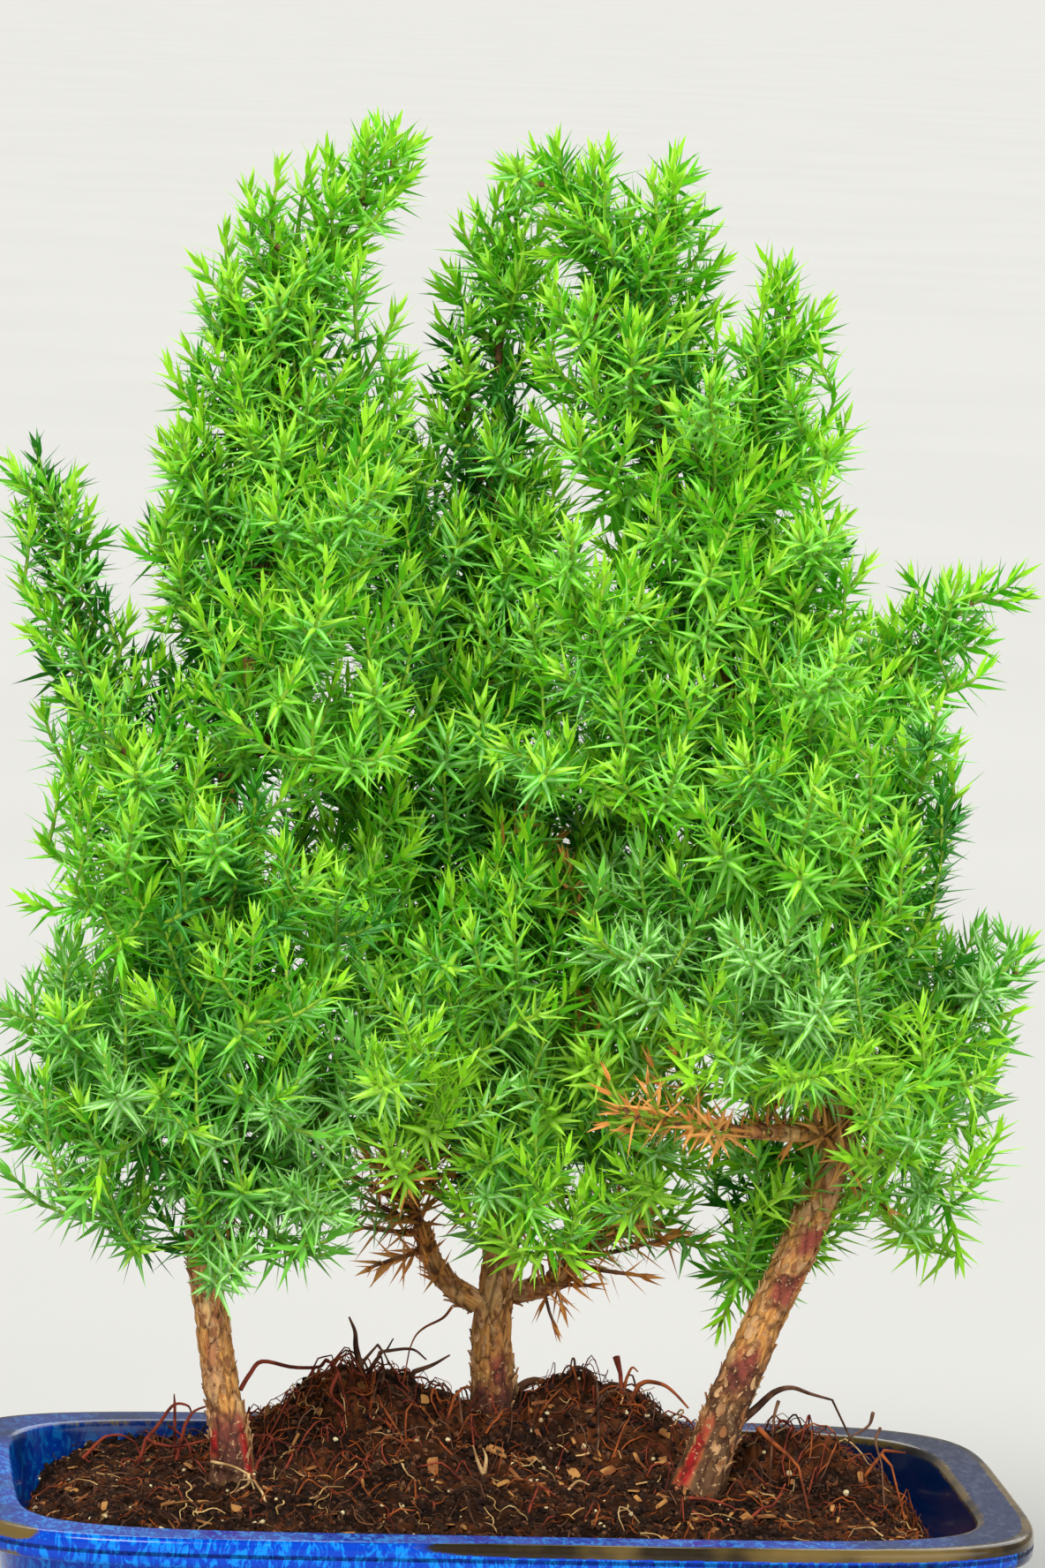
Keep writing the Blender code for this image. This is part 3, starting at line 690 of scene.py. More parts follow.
def grow(host: Object, tree: NodeTree, values: dict[str, Any]) -> None:
    """Run a geometry tree on an object and keep the result as its plain mesh.

    Args:
        host: the object whose mesh the tree starts from.
        tree: the tree.
        values: value of each input, by the input's name.
    """
    step = host.modifiers.new(tree.name, "NODES")
    step.node_group = tree
    for item in tree.interface.items_tree:
        if item.in_out == "INPUT" and item.name in values:
            step[item.identifier] = values[item.name]
    host.update_tag()
    graph = bpy.context.evaluated_depsgraph_get()
    made = bpy.data.meshes.new_from_object(host.evaluated_get(graph), depsgraph=graph)
    host.modifiers.clear()
    before = host.data
    host.data = made
    bpy.data.meshes.remove(before)
    made.name = host.name


def discard(patterns: Collection) -> None:
    """Remove patterns that are no longer needed."""
    for item in list(patterns.objects):
        bpy.data.objects.remove(item, do_unlink=True)


def collected(name: str, items: Sequence[Object]) -> Collection:
    """Put patterns in a collection of their own.

    Args:
        name: the collection's name.
        items: the patterns, in the order of their names.

    Returns:
        The collection.
    """
    made = bpy.data.collections.new(name)
    bpy.context.scene.collection.children.link(made)
    for item in items:
        bpy.context.scene.collection.objects.unlink(item)
        made.objects.link(item)
    return made


def scattered(name: str, surface: Object, values: dict[str, Any]) -> Object:
    """Scatter patterns over a surface.

    Args:
        name: name of the result.
        surface: the piece with the surface.
        values: the scattering tree's inputs.

    Returns:
        One object with all that was scattered.
    """
    host = linked(name, surface.data.copy())
    grow(host, scatter_tree(), values)
    return host


# Finishes


def new_material(name: str, constants: dict[str, Any]) -> tuple[Material, Nodes, Node]:
    """Start a material with its Principled shader.

    Args:
        name: the material's name.
        constants: for each of the shader's inputs, a value that is the same all over.

    Returns:
        The material, its nodes, and the shader node.
    """
    made = bpy.data.materials.new(name)
    made.use_nodes = True
    shader = made.node_tree.nodes["Principled BSDF"]
    for label, value in constants.items():
        shader.inputs[label].default_value = value
    return made, Nodes(made.node_tree), shader


class Groups:
    """Shader groups that several finishes share, each built once."""

    def __init__(self) -> None:
        """Build the groups."""
        self.mottle = self.build_mottle()
        self.fibre = self.build_fibre()

    @staticmethod
    def build_mottle() -> NodeTree:
        """A soft blotchy mask with finer specks in it.

        Returns:
            The group.
        """
        nodes, given, result = new_group(
            "ShaderNodeTree", "mottle",
            {"Vector": "Vector", "Blotch": 100.0, "Speck": 900.0, "Softness": 0.15},
            {"Mask": "Float", "Specks": "Float"})
        broad = nodes.noise(given["Blotch"], given["Vector"], Detail=4.0)
        fine = nodes.noise(given["Speck"], given["Vector"], Detail=2.0)
        low = nodes.math("SUBTRACT", 0.5, given["Softness"])
        high = nodes.plus(0.5, given["Softness"])
        nodes.feed(result, "Mask", nodes.ramp(broad, low, high))
        nodes.feed(result, "Specks", nodes.ramp(fine, 0.6, 0.72))
        return nodes.tree

    @staticmethod
    def build_fibre() -> NodeTree:
        """Fine lines along a limb, from its UV map: tone and height.

        Returns:
            The group.
        """
        nodes, given, result = new_group(
            "ShaderNodeTree", "fibre", {"Vector": "Vector", "Across": 2.2, "Along": 0.25},
            {"Tone": "Float", "Height": "Float"})
        stretch = nodes.out("ShaderNodeCombineXYZ", {"X": given["Across"], "Y": given["Along"],
                                                     "Z": 1.0})
        place = nodes.out("ShaderNodeVectorMath", {0: given["Vector"], 1: stretch},
                          operation="MULTIPLY")
        lines = nodes.noise(1.0, place, Detail=5.0, Roughness=0.6, Distortion=0.4)
        nodes.feed(result, "Tone", nodes.ramp(lines, 0.35, 0.65))
        nodes.feed(result, "Height", lines)
        return nodes.tree


@dataclass(frozen=True)
class NeedleFinish:
    """A needle's green and its pale band, plain colours dealt out by spray."""

    shade: Shade
    blade: Colour
    band: Colour
    roughness: float = 0.42

    def materials(self) -> list[Material]:
        """Make the blade's and the band's material, the first time they are asked for.

        Returns:
            Both, in that order.
        """
        made = []
        for part, colour in (("blade", self.blade), ("band", self.band)):
            name = f"needle_{part}_{self.shade.value}"
            material = bpy.data.materials.get(name)
            if material is None:
                material, nodes, shader = new_material(
                    name, {"Base Color": (*colour, 1.0), "Specular IOR Level": 0.3})
                grain = nodes.noise(700.0, nodes.place())
                nodes.feed(shader, "Roughness", nodes.ramp(
                    grain, 0.3, 0.7, self.roughness - 0.08, self.roughness + 0.12))
            made.append(material)
        return made


NEEDLES = {finish.shade: finish for finish in (
    NeedleFinish(YOUNG, (0.36, 0.80, 0.02), (0.52, 0.88, 0.12)),
    NeedleFinish(BRIGHT, (0.17, 0.66, 0.012), (0.40, 0.82, 0.17)),
    NeedleFinish(MID, (0.095, 0.50, 0.012), (0.36, 0.78, 0.22)),
    # The dark green is dealt at random, and near the trunks as painted shade.
    NeedleFinish(DEEP, (0.022, 0.20, 0.008), (0.12, 0.44, 0.09)),
    NeedleFinish(BLUE, (0.18, 0.58, 0.05), (0.54, 0.89, 0.37)),
    NeedleFinish(DEAD, (0.84, 0.33, 0.065), (0.92, 0.48, 0.15), 0.6),
)}


@dataclass(frozen=True)
class StemFinish:
    """The skin of a shoot."""

    kind: Kind
    light: Colour
    dark: Colour
    groups: Groups

    def material(self) -> Material:
        """Make the material.

        Returns:
            The material.
        """
        material, nodes, shader = new_material(f"stem_{self.kind.value}", {"Roughness": 0.6})
        mask = nodes.effect(self.groups.mottle, nodes.place(), Blotch=260.0)["Mask"]
        nodes.feed(shader, "Base Color", nodes.mix(mask, self.dark, self.light))
        return material


@dataclass(frozen=True)
class BarkFinish:
    """Flaking bark: tan plates over dark cracks, red where it is fresh, dark with soil below."""

    groups: Groups
    tan: Colour = (0.74, 0.37, 0.105)
    brown: Colour = (0.40, 0.15, 0.034)
    cream: Colour = (0.90, 0.60, 0.28)
    crack: Colour = (0.045, 0.016, 0.008)
    flush: Colour = (0.30, 0.052, 0.045)
    streak: Colour = (0.36, 0.012, 0.014)
    dirt: Colour = (0.050, 0.024, 0.018)
    youth: Colour = (0.26, 0.34, 0.05)

    def material(self) -> Material:
        """Make the material, which reads the piece's UV map and its kept masks.

        Returns:
            The material.
        """
        material, nodes, shader = new_material("bark", {"Specular IOR Level": 0.2})
        fibre = nodes.effect(self.groups.fibre, nodes.out("ShaderNodeUVMap", {}, uv_map="bark"))
        mottle = nodes.effect(self.groups.mottle, nodes.place(), Blotch=210.0, Speck=1400.0,
                              Softness=0.1)
        colour = nodes.mix(fibre["Tone"], self.brown, self.tan)
        for mask, most, over in (("plate", 0.75, self.cream), ("flush", 0.9, self.flush),
                                 ("dirt", 1.0, self.dirt), ("streak", 1.0, self.streak),
                                 ("youth", 1.0, self.youth), ("crack", 1.0, self.crack)):
            share = nodes.times(nodes.attribute(mask), most)
            colour = nodes.mix(share, colour, over)
        colour = nodes.mix(nodes.times(mottle["Specks"], 0.5), colour, self.cream)
        nodes.feed(shader, "Base Color", colour)
        nodes.feed(shader, "Roughness", nodes.ramp(fibre["Tone"], 0.0, 1.0, 0.75, 0.95))
        nodes.bump(shader, fibre["Height"], 0.5, 0.25 * MM)
        return material


@dataclass(frozen=True)
class PlainFinish:
    """A mottled two-colour finish for crumbs, grit, chips, fibres and the like."""

    name: str
    light: Colour
    dark: Colour
    groups: Groups
    blotch: float = 400.0
    roughness: float = 0.85

    def material(self) -> Material:
        """Make the material, the first time it is asked for.

        Returns:
            The material.
        """
        known = bpy.data.materials.get(self.name)
        if known:
            return known
        material, nodes, shader = new_material(
            self.name, {"Roughness": self.roughness, "Specular IOR Level": 0.15})
        mask = nodes.effect(self.groups.mottle, nodes.place(), Blotch=self.blotch,
                            Speck=4.0 * self.blotch, Softness=0.12)["Mask"]
        nodes.feed(shader, "Base Color", nodes.mix(mask, self.dark, self.light))
        return material


@dataclass(frozen=True)
class SoilFinish:
    """Dark crumbly mix, redder and lighter where fibre lies in it."""

    groups: Groups
    dark: Colour = (0.005, 0.002, 0.001)
    brown: Colour = (0.022, 0.008, 0.0038)
    rust: Colour = (0.26, 0.075, 0.02)
    pale: Colour = (0.30, 0.19, 0.10)

    def material(self) -> Material:
        """Make the material.

        Returns:
            The material.
        """
        material, nodes, shader = new_material("soil", {"Roughness": 0.92,
                                                        "Specular IOR Level": 0.1})
        close = nodes.effect(self.groups.mottle, nodes.place(), Blotch=420.0, Speck=1500.0,
                             Softness=0.14)
        wide = nodes.effect(self.groups.mottle, nodes.place((1.0, 1.0, 1.6)), Blotch=60.0,
                            Speck=900.0, Softness=0.12)
        rusty = nodes.times(wide["Mask"], nodes.attribute("fibrous"))
        colour = nodes.mix(close["Mask"], self.dark, self.brown)
        colour = nodes.mix(nodes.times(rusty, 0.6), colour, self.rust)
        colour = nodes.mix(nodes.times(close["Specks"], 0.45), colour, self.pale)
        # Painted shade: the cracks between the lumps are mixed towards the darkest brown.
        colour = nodes.mix(nodes.attribute("crack"), colour, self.dark)
        nodes.feed(shader, "Base Color", colour)
        nodes.bump(shader, close["Specks"], 0.8, 0.35 * MM)
        return material


@dataclass(frozen=True)
class GlazeFinish:
    """Runny cobalt glaze that breaks to olive brown where it thins on an edge."""

    cobalt: Colour = (0.0, 0.050, 0.52)
    sky: Colour = (0.0, 0.29, 0.92)
    # Navy is painted shade on the pot's ends and back, and also comes in broad random patches.
    navy: Colour = (0.0, 0.014, 0.085)
    break_light: Colour = (0.16, 0.105, 0.03)
    break_dark: Colour = (0.022, 0.014, 0.006)
    clay: Colour = (0.16, 0.06, 0.03)

    def material(self) -> Material:
        """Make the material, which reads the pot's kept edge, end and foot masks.

        Returns:
            The material.
        """
        material, nodes, shader = new_material("glaze", {"Specular IOR Level": 0.28})
        runs = nodes.noise(620.0, nodes.place((1.0, 0.42, 0.42)), Detail=5.0, Roughness=0.62,
                           Distortion=1.2)
        broad = nodes.noise(45.0, nodes.place(), Detail=3.0)
        bare = nodes.attribute("bare")
        light = nodes.times(nodes.ramp(runs, 0.47, 0.60), 0.85)
        # Painted shade: the ends and back are glazed navy and the front wall much less; broad
        # noise adds random navy patches.
        navy_shade_and_patches = nodes.plus(nodes.attribute("end"), nodes.ramp(broad, 0.52, 0.7, 0.0, 0.35))
        ragged = nodes.plus(nodes.attribute("edge"),
                            nodes.times(nodes.math("SUBTRACT", runs, 0.5), 0.35))
        olive = nodes.mix(nodes.ramp(broad, 0.42, 0.6), self.break_dark, self.break_light)
        colour = nodes.mix(light, self.cobalt, self.sky)
        colour = nodes.mix(nodes.ramp(navy_shade_and_patches, 0.0, 1.0), colour, self.navy)
        colour = nodes.mix(nodes.ramp(ragged, 0.52, 0.64), colour, olive)
        nodes.feed(shader, "Base Color", nodes.mix(bare, colour, self.clay))
        nodes.feed(shader, "Roughness", nodes.plus(nodes.ramp(runs, 0.4, 0.7, 0.12, 0.26),
                                                   nodes.times(bare, 0.5)))
        nodes.bump(shader, runs, 0.25, 0.12 * MM)
        return material


# The planting's frame


@dataclass
class Skeleton:
    """Middle lines of the trunks, boughs and stems, by the rule that the solids follow."""

    trunk_rings: int = 17
    bough_rings: int = 6
    stem_samples: int = 24
    stem_root: float = 1.4 * MM
    clear: float = 0.3 * MM
    outward_share: float = 0.55
    seat: float = 0.9 * MM
    tip_needles: float = 6.0 * MM
    trunks: dict[str, Limb] = field(default_factory=dict)
    boughs: dict[str, Limb] = field(default_factory=dict)
    stems: dict[str, Line] = field(default_factory=dict)

    def build(self, ground: Callable[[float, float], float]) -> None:
        """Work out every middle line.

        Args:
            ground: height of the soil at a place.
        """
        for name, course in TRUNKS.items():
            self.trunks[name] = self.trunk_limb(course, ground)
        for bough in BOUGHS:
            line = self.stem_line(self.trunks[bough.tree], bough.height, bough.azimuth,
                                  bough.reach, bough.rise, bough.lift, bough.radius * MM,
                                  self.bough_rings)
            radii = np.linspace(bough.radius, bough.end, self.bough_rings) * MM
            self.boughs[bough.name] = Limb(line, radii)
        limbs = {**self.trunks, **self.boughs}
        for mass in MASSES:
            size = (mass.azimuth, mass.reach, mass.rise, mass.lift)
            if mass.height is None:
                self.stems[mass.name] = self.tip_line(limbs[mass.start], *size)
            else:
                self.stems[mass.name] = self.stem_line(
                    self.trunks[mass.start], mass.height, *size, self.stem_root,
                    self.stem_samples, self.tip_needles)

    def trunk_limb(self, course: Sequence[Sequence[float]],
                   ground: Callable[[float, float], float]) -> Limb:
        """Make a trunk's limb, its foot seated in the soil.

        Args:
            course: height, x, y and radius at points up the trunk, in millimetres.
            ground: height of the soil at a place.

        Returns:
            The limb.
        """
        samples = smooth_line([(x, y, z, radius) for z, x, y, radius in course],
                              self.trunk_rings) * MM
        samples[0, 2] = ground(samples[0][0], samples[0][1]) - self.seat
        return Limb(samples[:, :3], samples[:, 3])

    def stem_line(self, trunk: Limb, height: float, azimuth: float, reach: float, rise: float,
                  lift: float, radius: float, count: int, short: float = 0.0) -> Line:
        """Line of a limb that leaves a trunk: outward first, then up or down to its tip.

        Args:
            trunk: the limb it leaves.
            height: where it leaves, in millimetres.
            azimuth: which way it goes, in degrees.
            reach: how far out its tip is, in millimetres.
            rise: how far up its tip is, in millimetres.
            lift: share of the rise that is gained at its turn.
            radius: its radius at the root.
            count: how many points the line has.
            short: length by which it stops short of its tip.

        Returns:
            The line's points.
        """
        length = trunk.length_at_height(height * MM)
        root, trunk_radius = trunk.at(length)
        out = heading(azimuth)
        along = trunk.direction(length)
        level = unit(out - along * np.dot(out, along))
        start = root + level * (trunk_radius + 1.5 * self.clear)
        end = root + reach * MM * out + rise * MM * UP
        middle = start + self.outward_share * reach * MM * out + lift * rise * MM * UP
        start = start + level * radius * abs(np.dot(unit(middle - start), along))
        return bezier(start, middle, end, count, short)

    def tip_line(self, limb: Limb, azimuth: float, reach: float, rise: float, lift: float) -> Line:
        """Line that carries on from a limb's tip, in the same direction first.

        Args:
            limb: the limb.
            azimuth: which way it goes, in degrees.
            reach: how far out its tip is, in millimetres.
            rise: how far up its tip is, in millimetres.
            lift: how long it keeps the limb's direction.

        Returns:
            The line's points.
        """
        onward = limb.direction(limb.length)
        start = limb.points[-1] + onward * self.clear
        end = limb.points[-1] + reach * MM * heading(azimuth) + rise * MM * UP
        middle = start + onward * (0.25 + lift) * np.linalg.norm(end - start)
        return bezier(start, middle, end, self.stem_samples, self.tip_needles)


class Spaces:
    """Shares the crown out among the masses: each point belongs to the nearest stem."""

    half_length = 100.5 * MM
    half_depth = 62.5 * MM
    # Boxes in millimetres, low and high corner, that hold only dead twigs and hanging sprays.
    cleared = (((15, -62, 111), (60, -9, 129)), ((30, -62, 60), (70, 62, 111)),
               ((82, -62, 60), (101, 62, 114)), ((82, -62, 158), (101, 62, 184)),
               ((-54, -62, 60), (-28, 62, 94)), ((-101, -62, 60), (-80, 62, 104)),
               ((-31, -62, 276), (-14, 62, 289)))
    hanging = ("right_dead_spray", "right_drop_left", "centre_tuft_right")

    def __init__(self, stems: dict[str, Line], limbs: Iterable[Limb]) -> None:
        """Keep every stem's points and every limb's thickness.

        Args:
            stems: the line of each mass's stem.
            limbs: the trunks and boughs.
        """
        self.names = list(stems)
        self.owners = np.repeat(np.arange(len(stems)), [len(line) for line in stems.values()])
        self.points = np.concatenate(list(stems.values()))
        fine = [limb.resampled(2.0 * MM) for limb in limbs]
        self.limb_points = np.concatenate([limb.points for limb in fine])
        self.limb_radii = np.concatenate([limb.radii for limb in fine])

    def holds(self, name: str, point: np.ndarray, margin: float, rim: float) -> bool:
        """Whether a point is in the crown and nearer to this mass's stem than to another.

        Args:
            name: the mass.
            point: the point.
            margin: how much nearer it must be.
            rim: how far inside the crown's sides it must be.

        Returns:
            Whether the mass may grow there.
        """
        if abs(point[0]) + rim > self.half_length or abs(point[1]) + rim > self.half_depth:
            return False
        if name not in self.hanging and any(
                np.all(point > np.array(low) * MM) and np.all(point < np.array(high) * MM)
                for low, high in self.cleared):
            return False
        gaps = np.linalg.norm(self.points - point, axis=1)
        mine = self.owners == self.names.index(name)
        return gaps[mine].min() + margin < gaps[~mine].min()

    def off_limbs(self, point: np.ndarray, margin: float) -> bool:
        """Whether a point is clear of every trunk and bough by a margin."""
        gaps = np.linalg.norm(self.limb_points - point, axis=1) - self.limb_radii
        return bool(gaps.min() > margin)


# The crown


@dataclass
class Shoot:
    """A stem that needles stand on: its radii, and its bare, woody and young lengths."""

    line: Line
    mass: Mass
    shade: Shade
    root_radius: float
    tip_radius: float
    bare: float = 0.0
    woody: float = 0.0
    young: float = 0.0


class Size(NamedTuple):
    """Size of a kind of shoot, in millimetres, with the range of its young length."""

    root: float
    tip: float
    bare: float
    woody: float
    young: tuple[float, float]


@dataclass(frozen=True)
class Offshoots:
    """A rule for the shoots along a shoot: spacing, bare ends, lengths, turn and room."""

    step: float
    first: float
    last: float
    shortest: float
    longest: float
    angle: float
    lift: float
    samples: int
    margin: float
    loss: float


# Length beyond that of every twig, in metres, for a twig that is woody all along.
WHOLE = 1.0
# Shares of a roll from 0 to 1, each added to those before it, and the shade they stand for.
Deal = tuple[tuple[float, Shade], ...]
DEALS: dict[Shade, Deal] = {
    BRIGHT: ((0.72, BRIGHT), (1.0, MID)),
    MID: ((0.6, MID), (0.8, BRIGHT), (1.0, DEEP)),
    BLUE: ((0.64, BLUE), (1.0, MID)),
    DEAD: ((0.6, DEAD), (1.0, MID)),
}
# Painted light: low shoots at the front get mostly the yellow-green of young tips, more so in the
# middle.
DEAL_PAINTED_LIGHT_MIDDLE: Deal = ((0.62, YOUNG), (0.7, BRIGHT), (1.0, BLUE))
DEAL_PAINTED_LIGHT_RIGHT: Deal = ((0.5, YOUNG), (0.7, BRIGHT), (1.0, BLUE))
# Near the trunks most shoots get the dark green as painted shade; low down a few get real dead
# needles.
DEAL_INSIDE_SHADE: Deal = ((0.75, DEEP),)
DEAL_LOW_INSIDE_DEAD_AND_SHADE: Deal = ((0.05, DEAD), (0.75, DEEP))


class Twig(NamedTuple):
    """A dead twig: its tree, where it leaves the trunk, which way and how far it goes."""

    tree: str
    height: float
    azimuth: float
    reach: float
    rise: float


DEAD_TWIGS = (
    Twig("right", 110, -30, 12, -5), Twig("right", 114, -78, 11, -2),
    Twig("right", 118, 15, 14, 1), Twig("right", 121, -50, 13, 5),
    Twig("right", 117, -120, 13, 6), Twig("centre", 98, 205, 15, 4),
    Twig("centre", 104, 172, 21, 2), Twig("centre", 107, -150, 17, 6),
    Twig("centre", 101, -15, 22, 0), Twig("centre", 96, -60, 12, 5),
    Twig("centre", 90, -25, 9, -4), Twig("left", 103, -60, 9, -3),
    Twig("left", 105, 10, 11, -1), Twig("left", 112, -20, 16, 2),
)


class Plume(NamedTuple):
    """A single plume: its mass, root and tip in millimetres, which way it bows, its shade."""

    mass: str
    start: tuple[float, float, float]
    end: tuple[float, float, float]
    bow: float
    shade: Shade


PLUMES = (
    Plume("left_crown_left", (-44.5, 2, 258), (-53.5, -2, 292), 180, BRIGHT),
    Plume("left_crown_left", (-46.5, 1, 268), (-48.5, -5, 296), 200, BRIGHT),
    Plume("left_crown_tip", (-42.5, 1, 264), (-42.5, -1, 297), 180, BRIGHT),
    Plume("left_crown_left", (-47, 3, 250), (-57.5, 3, 283), 180, BRIGHT),
    Plume("left_upper_right", (-45, 2, 238), (-25.5, 0, 270), 0, BRIGHT),
    Plume("left_shoulder", (-50, -4, 222), (-65.5, -10, 247), 180, BRIGHT),
    Plume("right_crown_tip", (22.5, 2, 262), (25.5, 1, 298), 0, BRIGHT),
    Plume("right_crown_tip", (21, 3, 266), (21.5, -2, 296), 0, BRIGHT),
    Plume("right_upper", (32, 2, 238), (43.5, 0, 276), 0, BRIGHT),
    Plume("right_upper", (34, 3, 232), (47, 5, 279), 0, MID),
    Plume("centre_tuft_right", (12, 19, 86), (19, 12, 97), -60, DEAD),
    Plume("centre_tuft_right", (15, 20, 88), (28, 12, 99), -60, DEAD),
    Plume("centre_tuft_right", (17, 20, 89), (33, 15, 94), -60, DEAD),
    Plume("centre_tuft_right", (15, 20, 88), (29, 15, 87), -60, DEAD),
    Plume("centre_tuft_right", (10, 19, 84.5), (19, 14, 85), -60, DEAD),
    Plume("centre_tuft_right", (17, 20, 89), (35, 11, 103), -60, BLUE),
    Plume("centre_tuft_right", (14, 20, 88), (20, 9, 103), -60, BLUE),
    Plume("centre_tuft_left", (-13, 21, 95), (-27, 14, 103), 180, DEAD),
    Plume("centre_tuft_left", (-14, 21, 98), (-31, 18, 108), 180, DEAD),
    Plume("centre_tuft_left", (-11, 21, 90), (-22, 13, 88), 200, DEAD),
    Plume("centre_tuft_left", (-9, 21, 100), (-16, 14, 116), 200, DEAD),
    Plume("centre_tuft_left", (-13, 21, 95), (-21, 12, 111), 180, DEAD),
    Plume("centre_tuft_left", (-12, 21, 93), (-26, 17, 95), 200, DEAD),
    Plume("centre_tuft_left", (-12, 21, 93), (-14, 11, 108), 200, DEAD),
    Plume("centre_tuft_left", (-14, 21, 96), (-31, 14, 99), 200, BLUE),
    Plume("left_lowest_right", (-60, -6, 112), (-40, -16, 96), -60, BLUE),
    Plume("left_lowest_right", (-62, -6, 112), (-51, -22, 92), -60, BLUE),
    Plume("right_drop_left", (57, 8, 100), (45, 14, 78), 180, BRIGHT),
)
# Withered places in the crown, seen from the front: x, height and radius in millimetres.
WITHERED = ((43.8, 203.0, 5.5), (47.0, 182.0, 5.5), (8.0, 174.0, 8.0), (-47.0, 164.0, 5.5),
            (-3.0, 157.0, 4.5), (17.8, 140.0, 5.0), (-16.0, 112.0, 9.0))


@dataclass
class Crown:
    """The trees' foliage: shoots by the solids' rule, carried on to finer twigs and needles."""

    skeleton: Skeleton
    spaces: Spaces
    groups: Groups
    shoot_angle: float = math.radians(44.0)
    shoot_samples: int = 8
    shoot_shortest: float = 5.0 * MM
    shoot_first: float = 4.5 * MM
    shoot_lowest: float = 1.15
    shoot_loss: float = 0.6
    shoot_lift: float = 0.7
    shoot_core: float = 3.0 * MM
    shoot_margin: float = 3.6 * MM
    side_size: Size = Size(0.6, 0.3, 1.0, 1.5, (2.5, 7.0))
    fill_size: Size = Size(0.45, 0.28, 0.8, 0.0, (1.5, 5.0))
    twig_size: Size = Size(0.38, 0.25, 0.8, 0.0, (1.0, 3.8))
    needle_bends: tuple[tuple[float, float], ...] = ((-0.05, 1.0), (0.03, 0.9), (0.10, 1.1))
    needle_length: float = 7.8 * MM
    needle_width: float = 1.22 * MM
    needle_spread: float = math.radians(64.0)
    needle_closed: float = math.radians(17.0)
    needle_closing: float = 6.5 * MM
    needle_jitter: float = math.radians(9.0)
    whorl_step: float = 1.75 * MM
    dead_spacing: float = 1.9
    dead_spacing_centre: float = 1.4
    stem_colours: tuple[tuple[Kind, Colour, Colour], ...] = (
        (Kind.WOODY, (0.26, 0.11, 0.035), (0.09, 0.035, 0.015)),
        (Kind.GREEN, (0.36, 0.56, 0.03), (0.16, 0.36, 0.02)))
    line_step: float = 2.0 * MM
    stem_step: float = 5.0 * MM
    fill_tries: int = 620
    fill_reach: float = 0.98
    fill_deep: float = 1.35
    fill_gap: float = 5.9 * MM
    fill_longest: float = 20.0 * MM
    fill_climb: float = 0.72
    fill_sag: float = 0.30
    deep_heights: tuple[float, float] = (128.0, 195.0)
    deep_half_length: float = 62.0 * MM
    deep_half_depth: float = 45.0 * MM
    # The low front region whose shoots are dealt lighter greens as painted light, in millimetres.
    front_top: float = 146.0
    front_depth: float = 16.0
    front_left: float = -28.0
    front_middle: float = 16.0
    # How near a limb a shoot's tip must be to be dealt the dark green as painted shade.
    inside: float = 13.0 * MM
    inside_low: float = 165.0 * MM
    withered_share: float = 0.5
    withered_depths: tuple[float, float] = (-22.0, 12.0)
    between: Offshoots = Offshoots(3.8 * MM, 3.0 * MM, 12.0 * MM, 12.0 * MM, 24.0 * MM,
                                   math.radians(46.0), 0.75, 7, -2.0 * MM, 0.62)
    on_stem: Offshoots = Offshoots(5.4 * MM, 4.0 * MM, 7.0 * MM, 8.0 * MM, 16.0 * MM,
                                   math.radians(46.0), 0.75, 5, -3.0 * MM, 0.35)
    on_shoot: Offshoots = Offshoots(5.8 * MM, 4.5 * MM, 6.5 * MM, 6.5 * MM, 12.0 * MM,
                                    math.radians(44.0), 0.75, 4, -4.0 * MM, 0.3)

    def build(self) -> None:
        """Grow every mass, then clothe each tree's shoots, a piece for each shade and kind."""
        shoots: list[Shoot] = []
        for seed, mass in enumerate(MASSES, start=1):
            shoots += self.grow_mass(mass, self.skeleton.stems[mass.name], seed)
        shoots += self.dead_twigs() + self.plumes()
        LOG.info("%d shoots, %.1f m in all", len(shoots),
                 sum(lengths_of(shoot.line)[-1] for shoot in shoots))
        needles = collected("needles", [needle_pattern(f"needle_{index}", bend, width)
                                        for index, (bend, width) in enumerate(self.needle_bends)])
        trees = {name: [s for s in shoots if s.mass.tree == name] for name in TRUNKS}
        for name, grown in trees.items():
            for shade in Shade:
                self.clothe(name, shade, grown, needles)
        for kind, light, dark in self.stem_colours:
            material = StemFinish(kind, light, dark, self.groups).material()
            for name, grown in trees.items():
                self.clad(name, kind, grown, material)
        discard(needles)

    def grow_mass(self, mass: Mass, stem: Line, seed: int) -> list[Shoot]:
        """Grow one mass.

        Args:
            mass: the mass.
            stem: its stem's line.
            seed: number that sets its turns and lengths.

        Returns:
            Its stem, side shoots and twigs.
        """
        dice = np.random.default_rng(1000 + seed)
        side = self.side_shoots(mass, stem, seed) + self.offshoots(mass, stem, self.between, dice)
        reach = lengths_of(stem)[-1]
        bare = (0.06 if mass.shade is BRIGHT else 0.16) * reach
        shoots = [Shoot(stem, mass, self.deal(mass, dice), 0.95 * MM, 0.35 * MM, bare,
                        0.35 * reach, 9.0 * MM)]
        shoots += self.dealt(side, mass, self.side_size, dice, False)
        if mass.shade is DEAD:
            return shoots
        fillers = self.fillers(mass, stem, [stem] + side, dice)
        shoots += self.dealt(fillers, mass, self.fill_size, dice, True)
        twigs = self.offshoots(mass, stem, self.on_stem, dice)
        for line in side:
            twigs += self.offshoots(mass, line, self.on_shoot, dice)
        return shoots + self.dealt(twigs, mass, self.twig_size, dice, True)

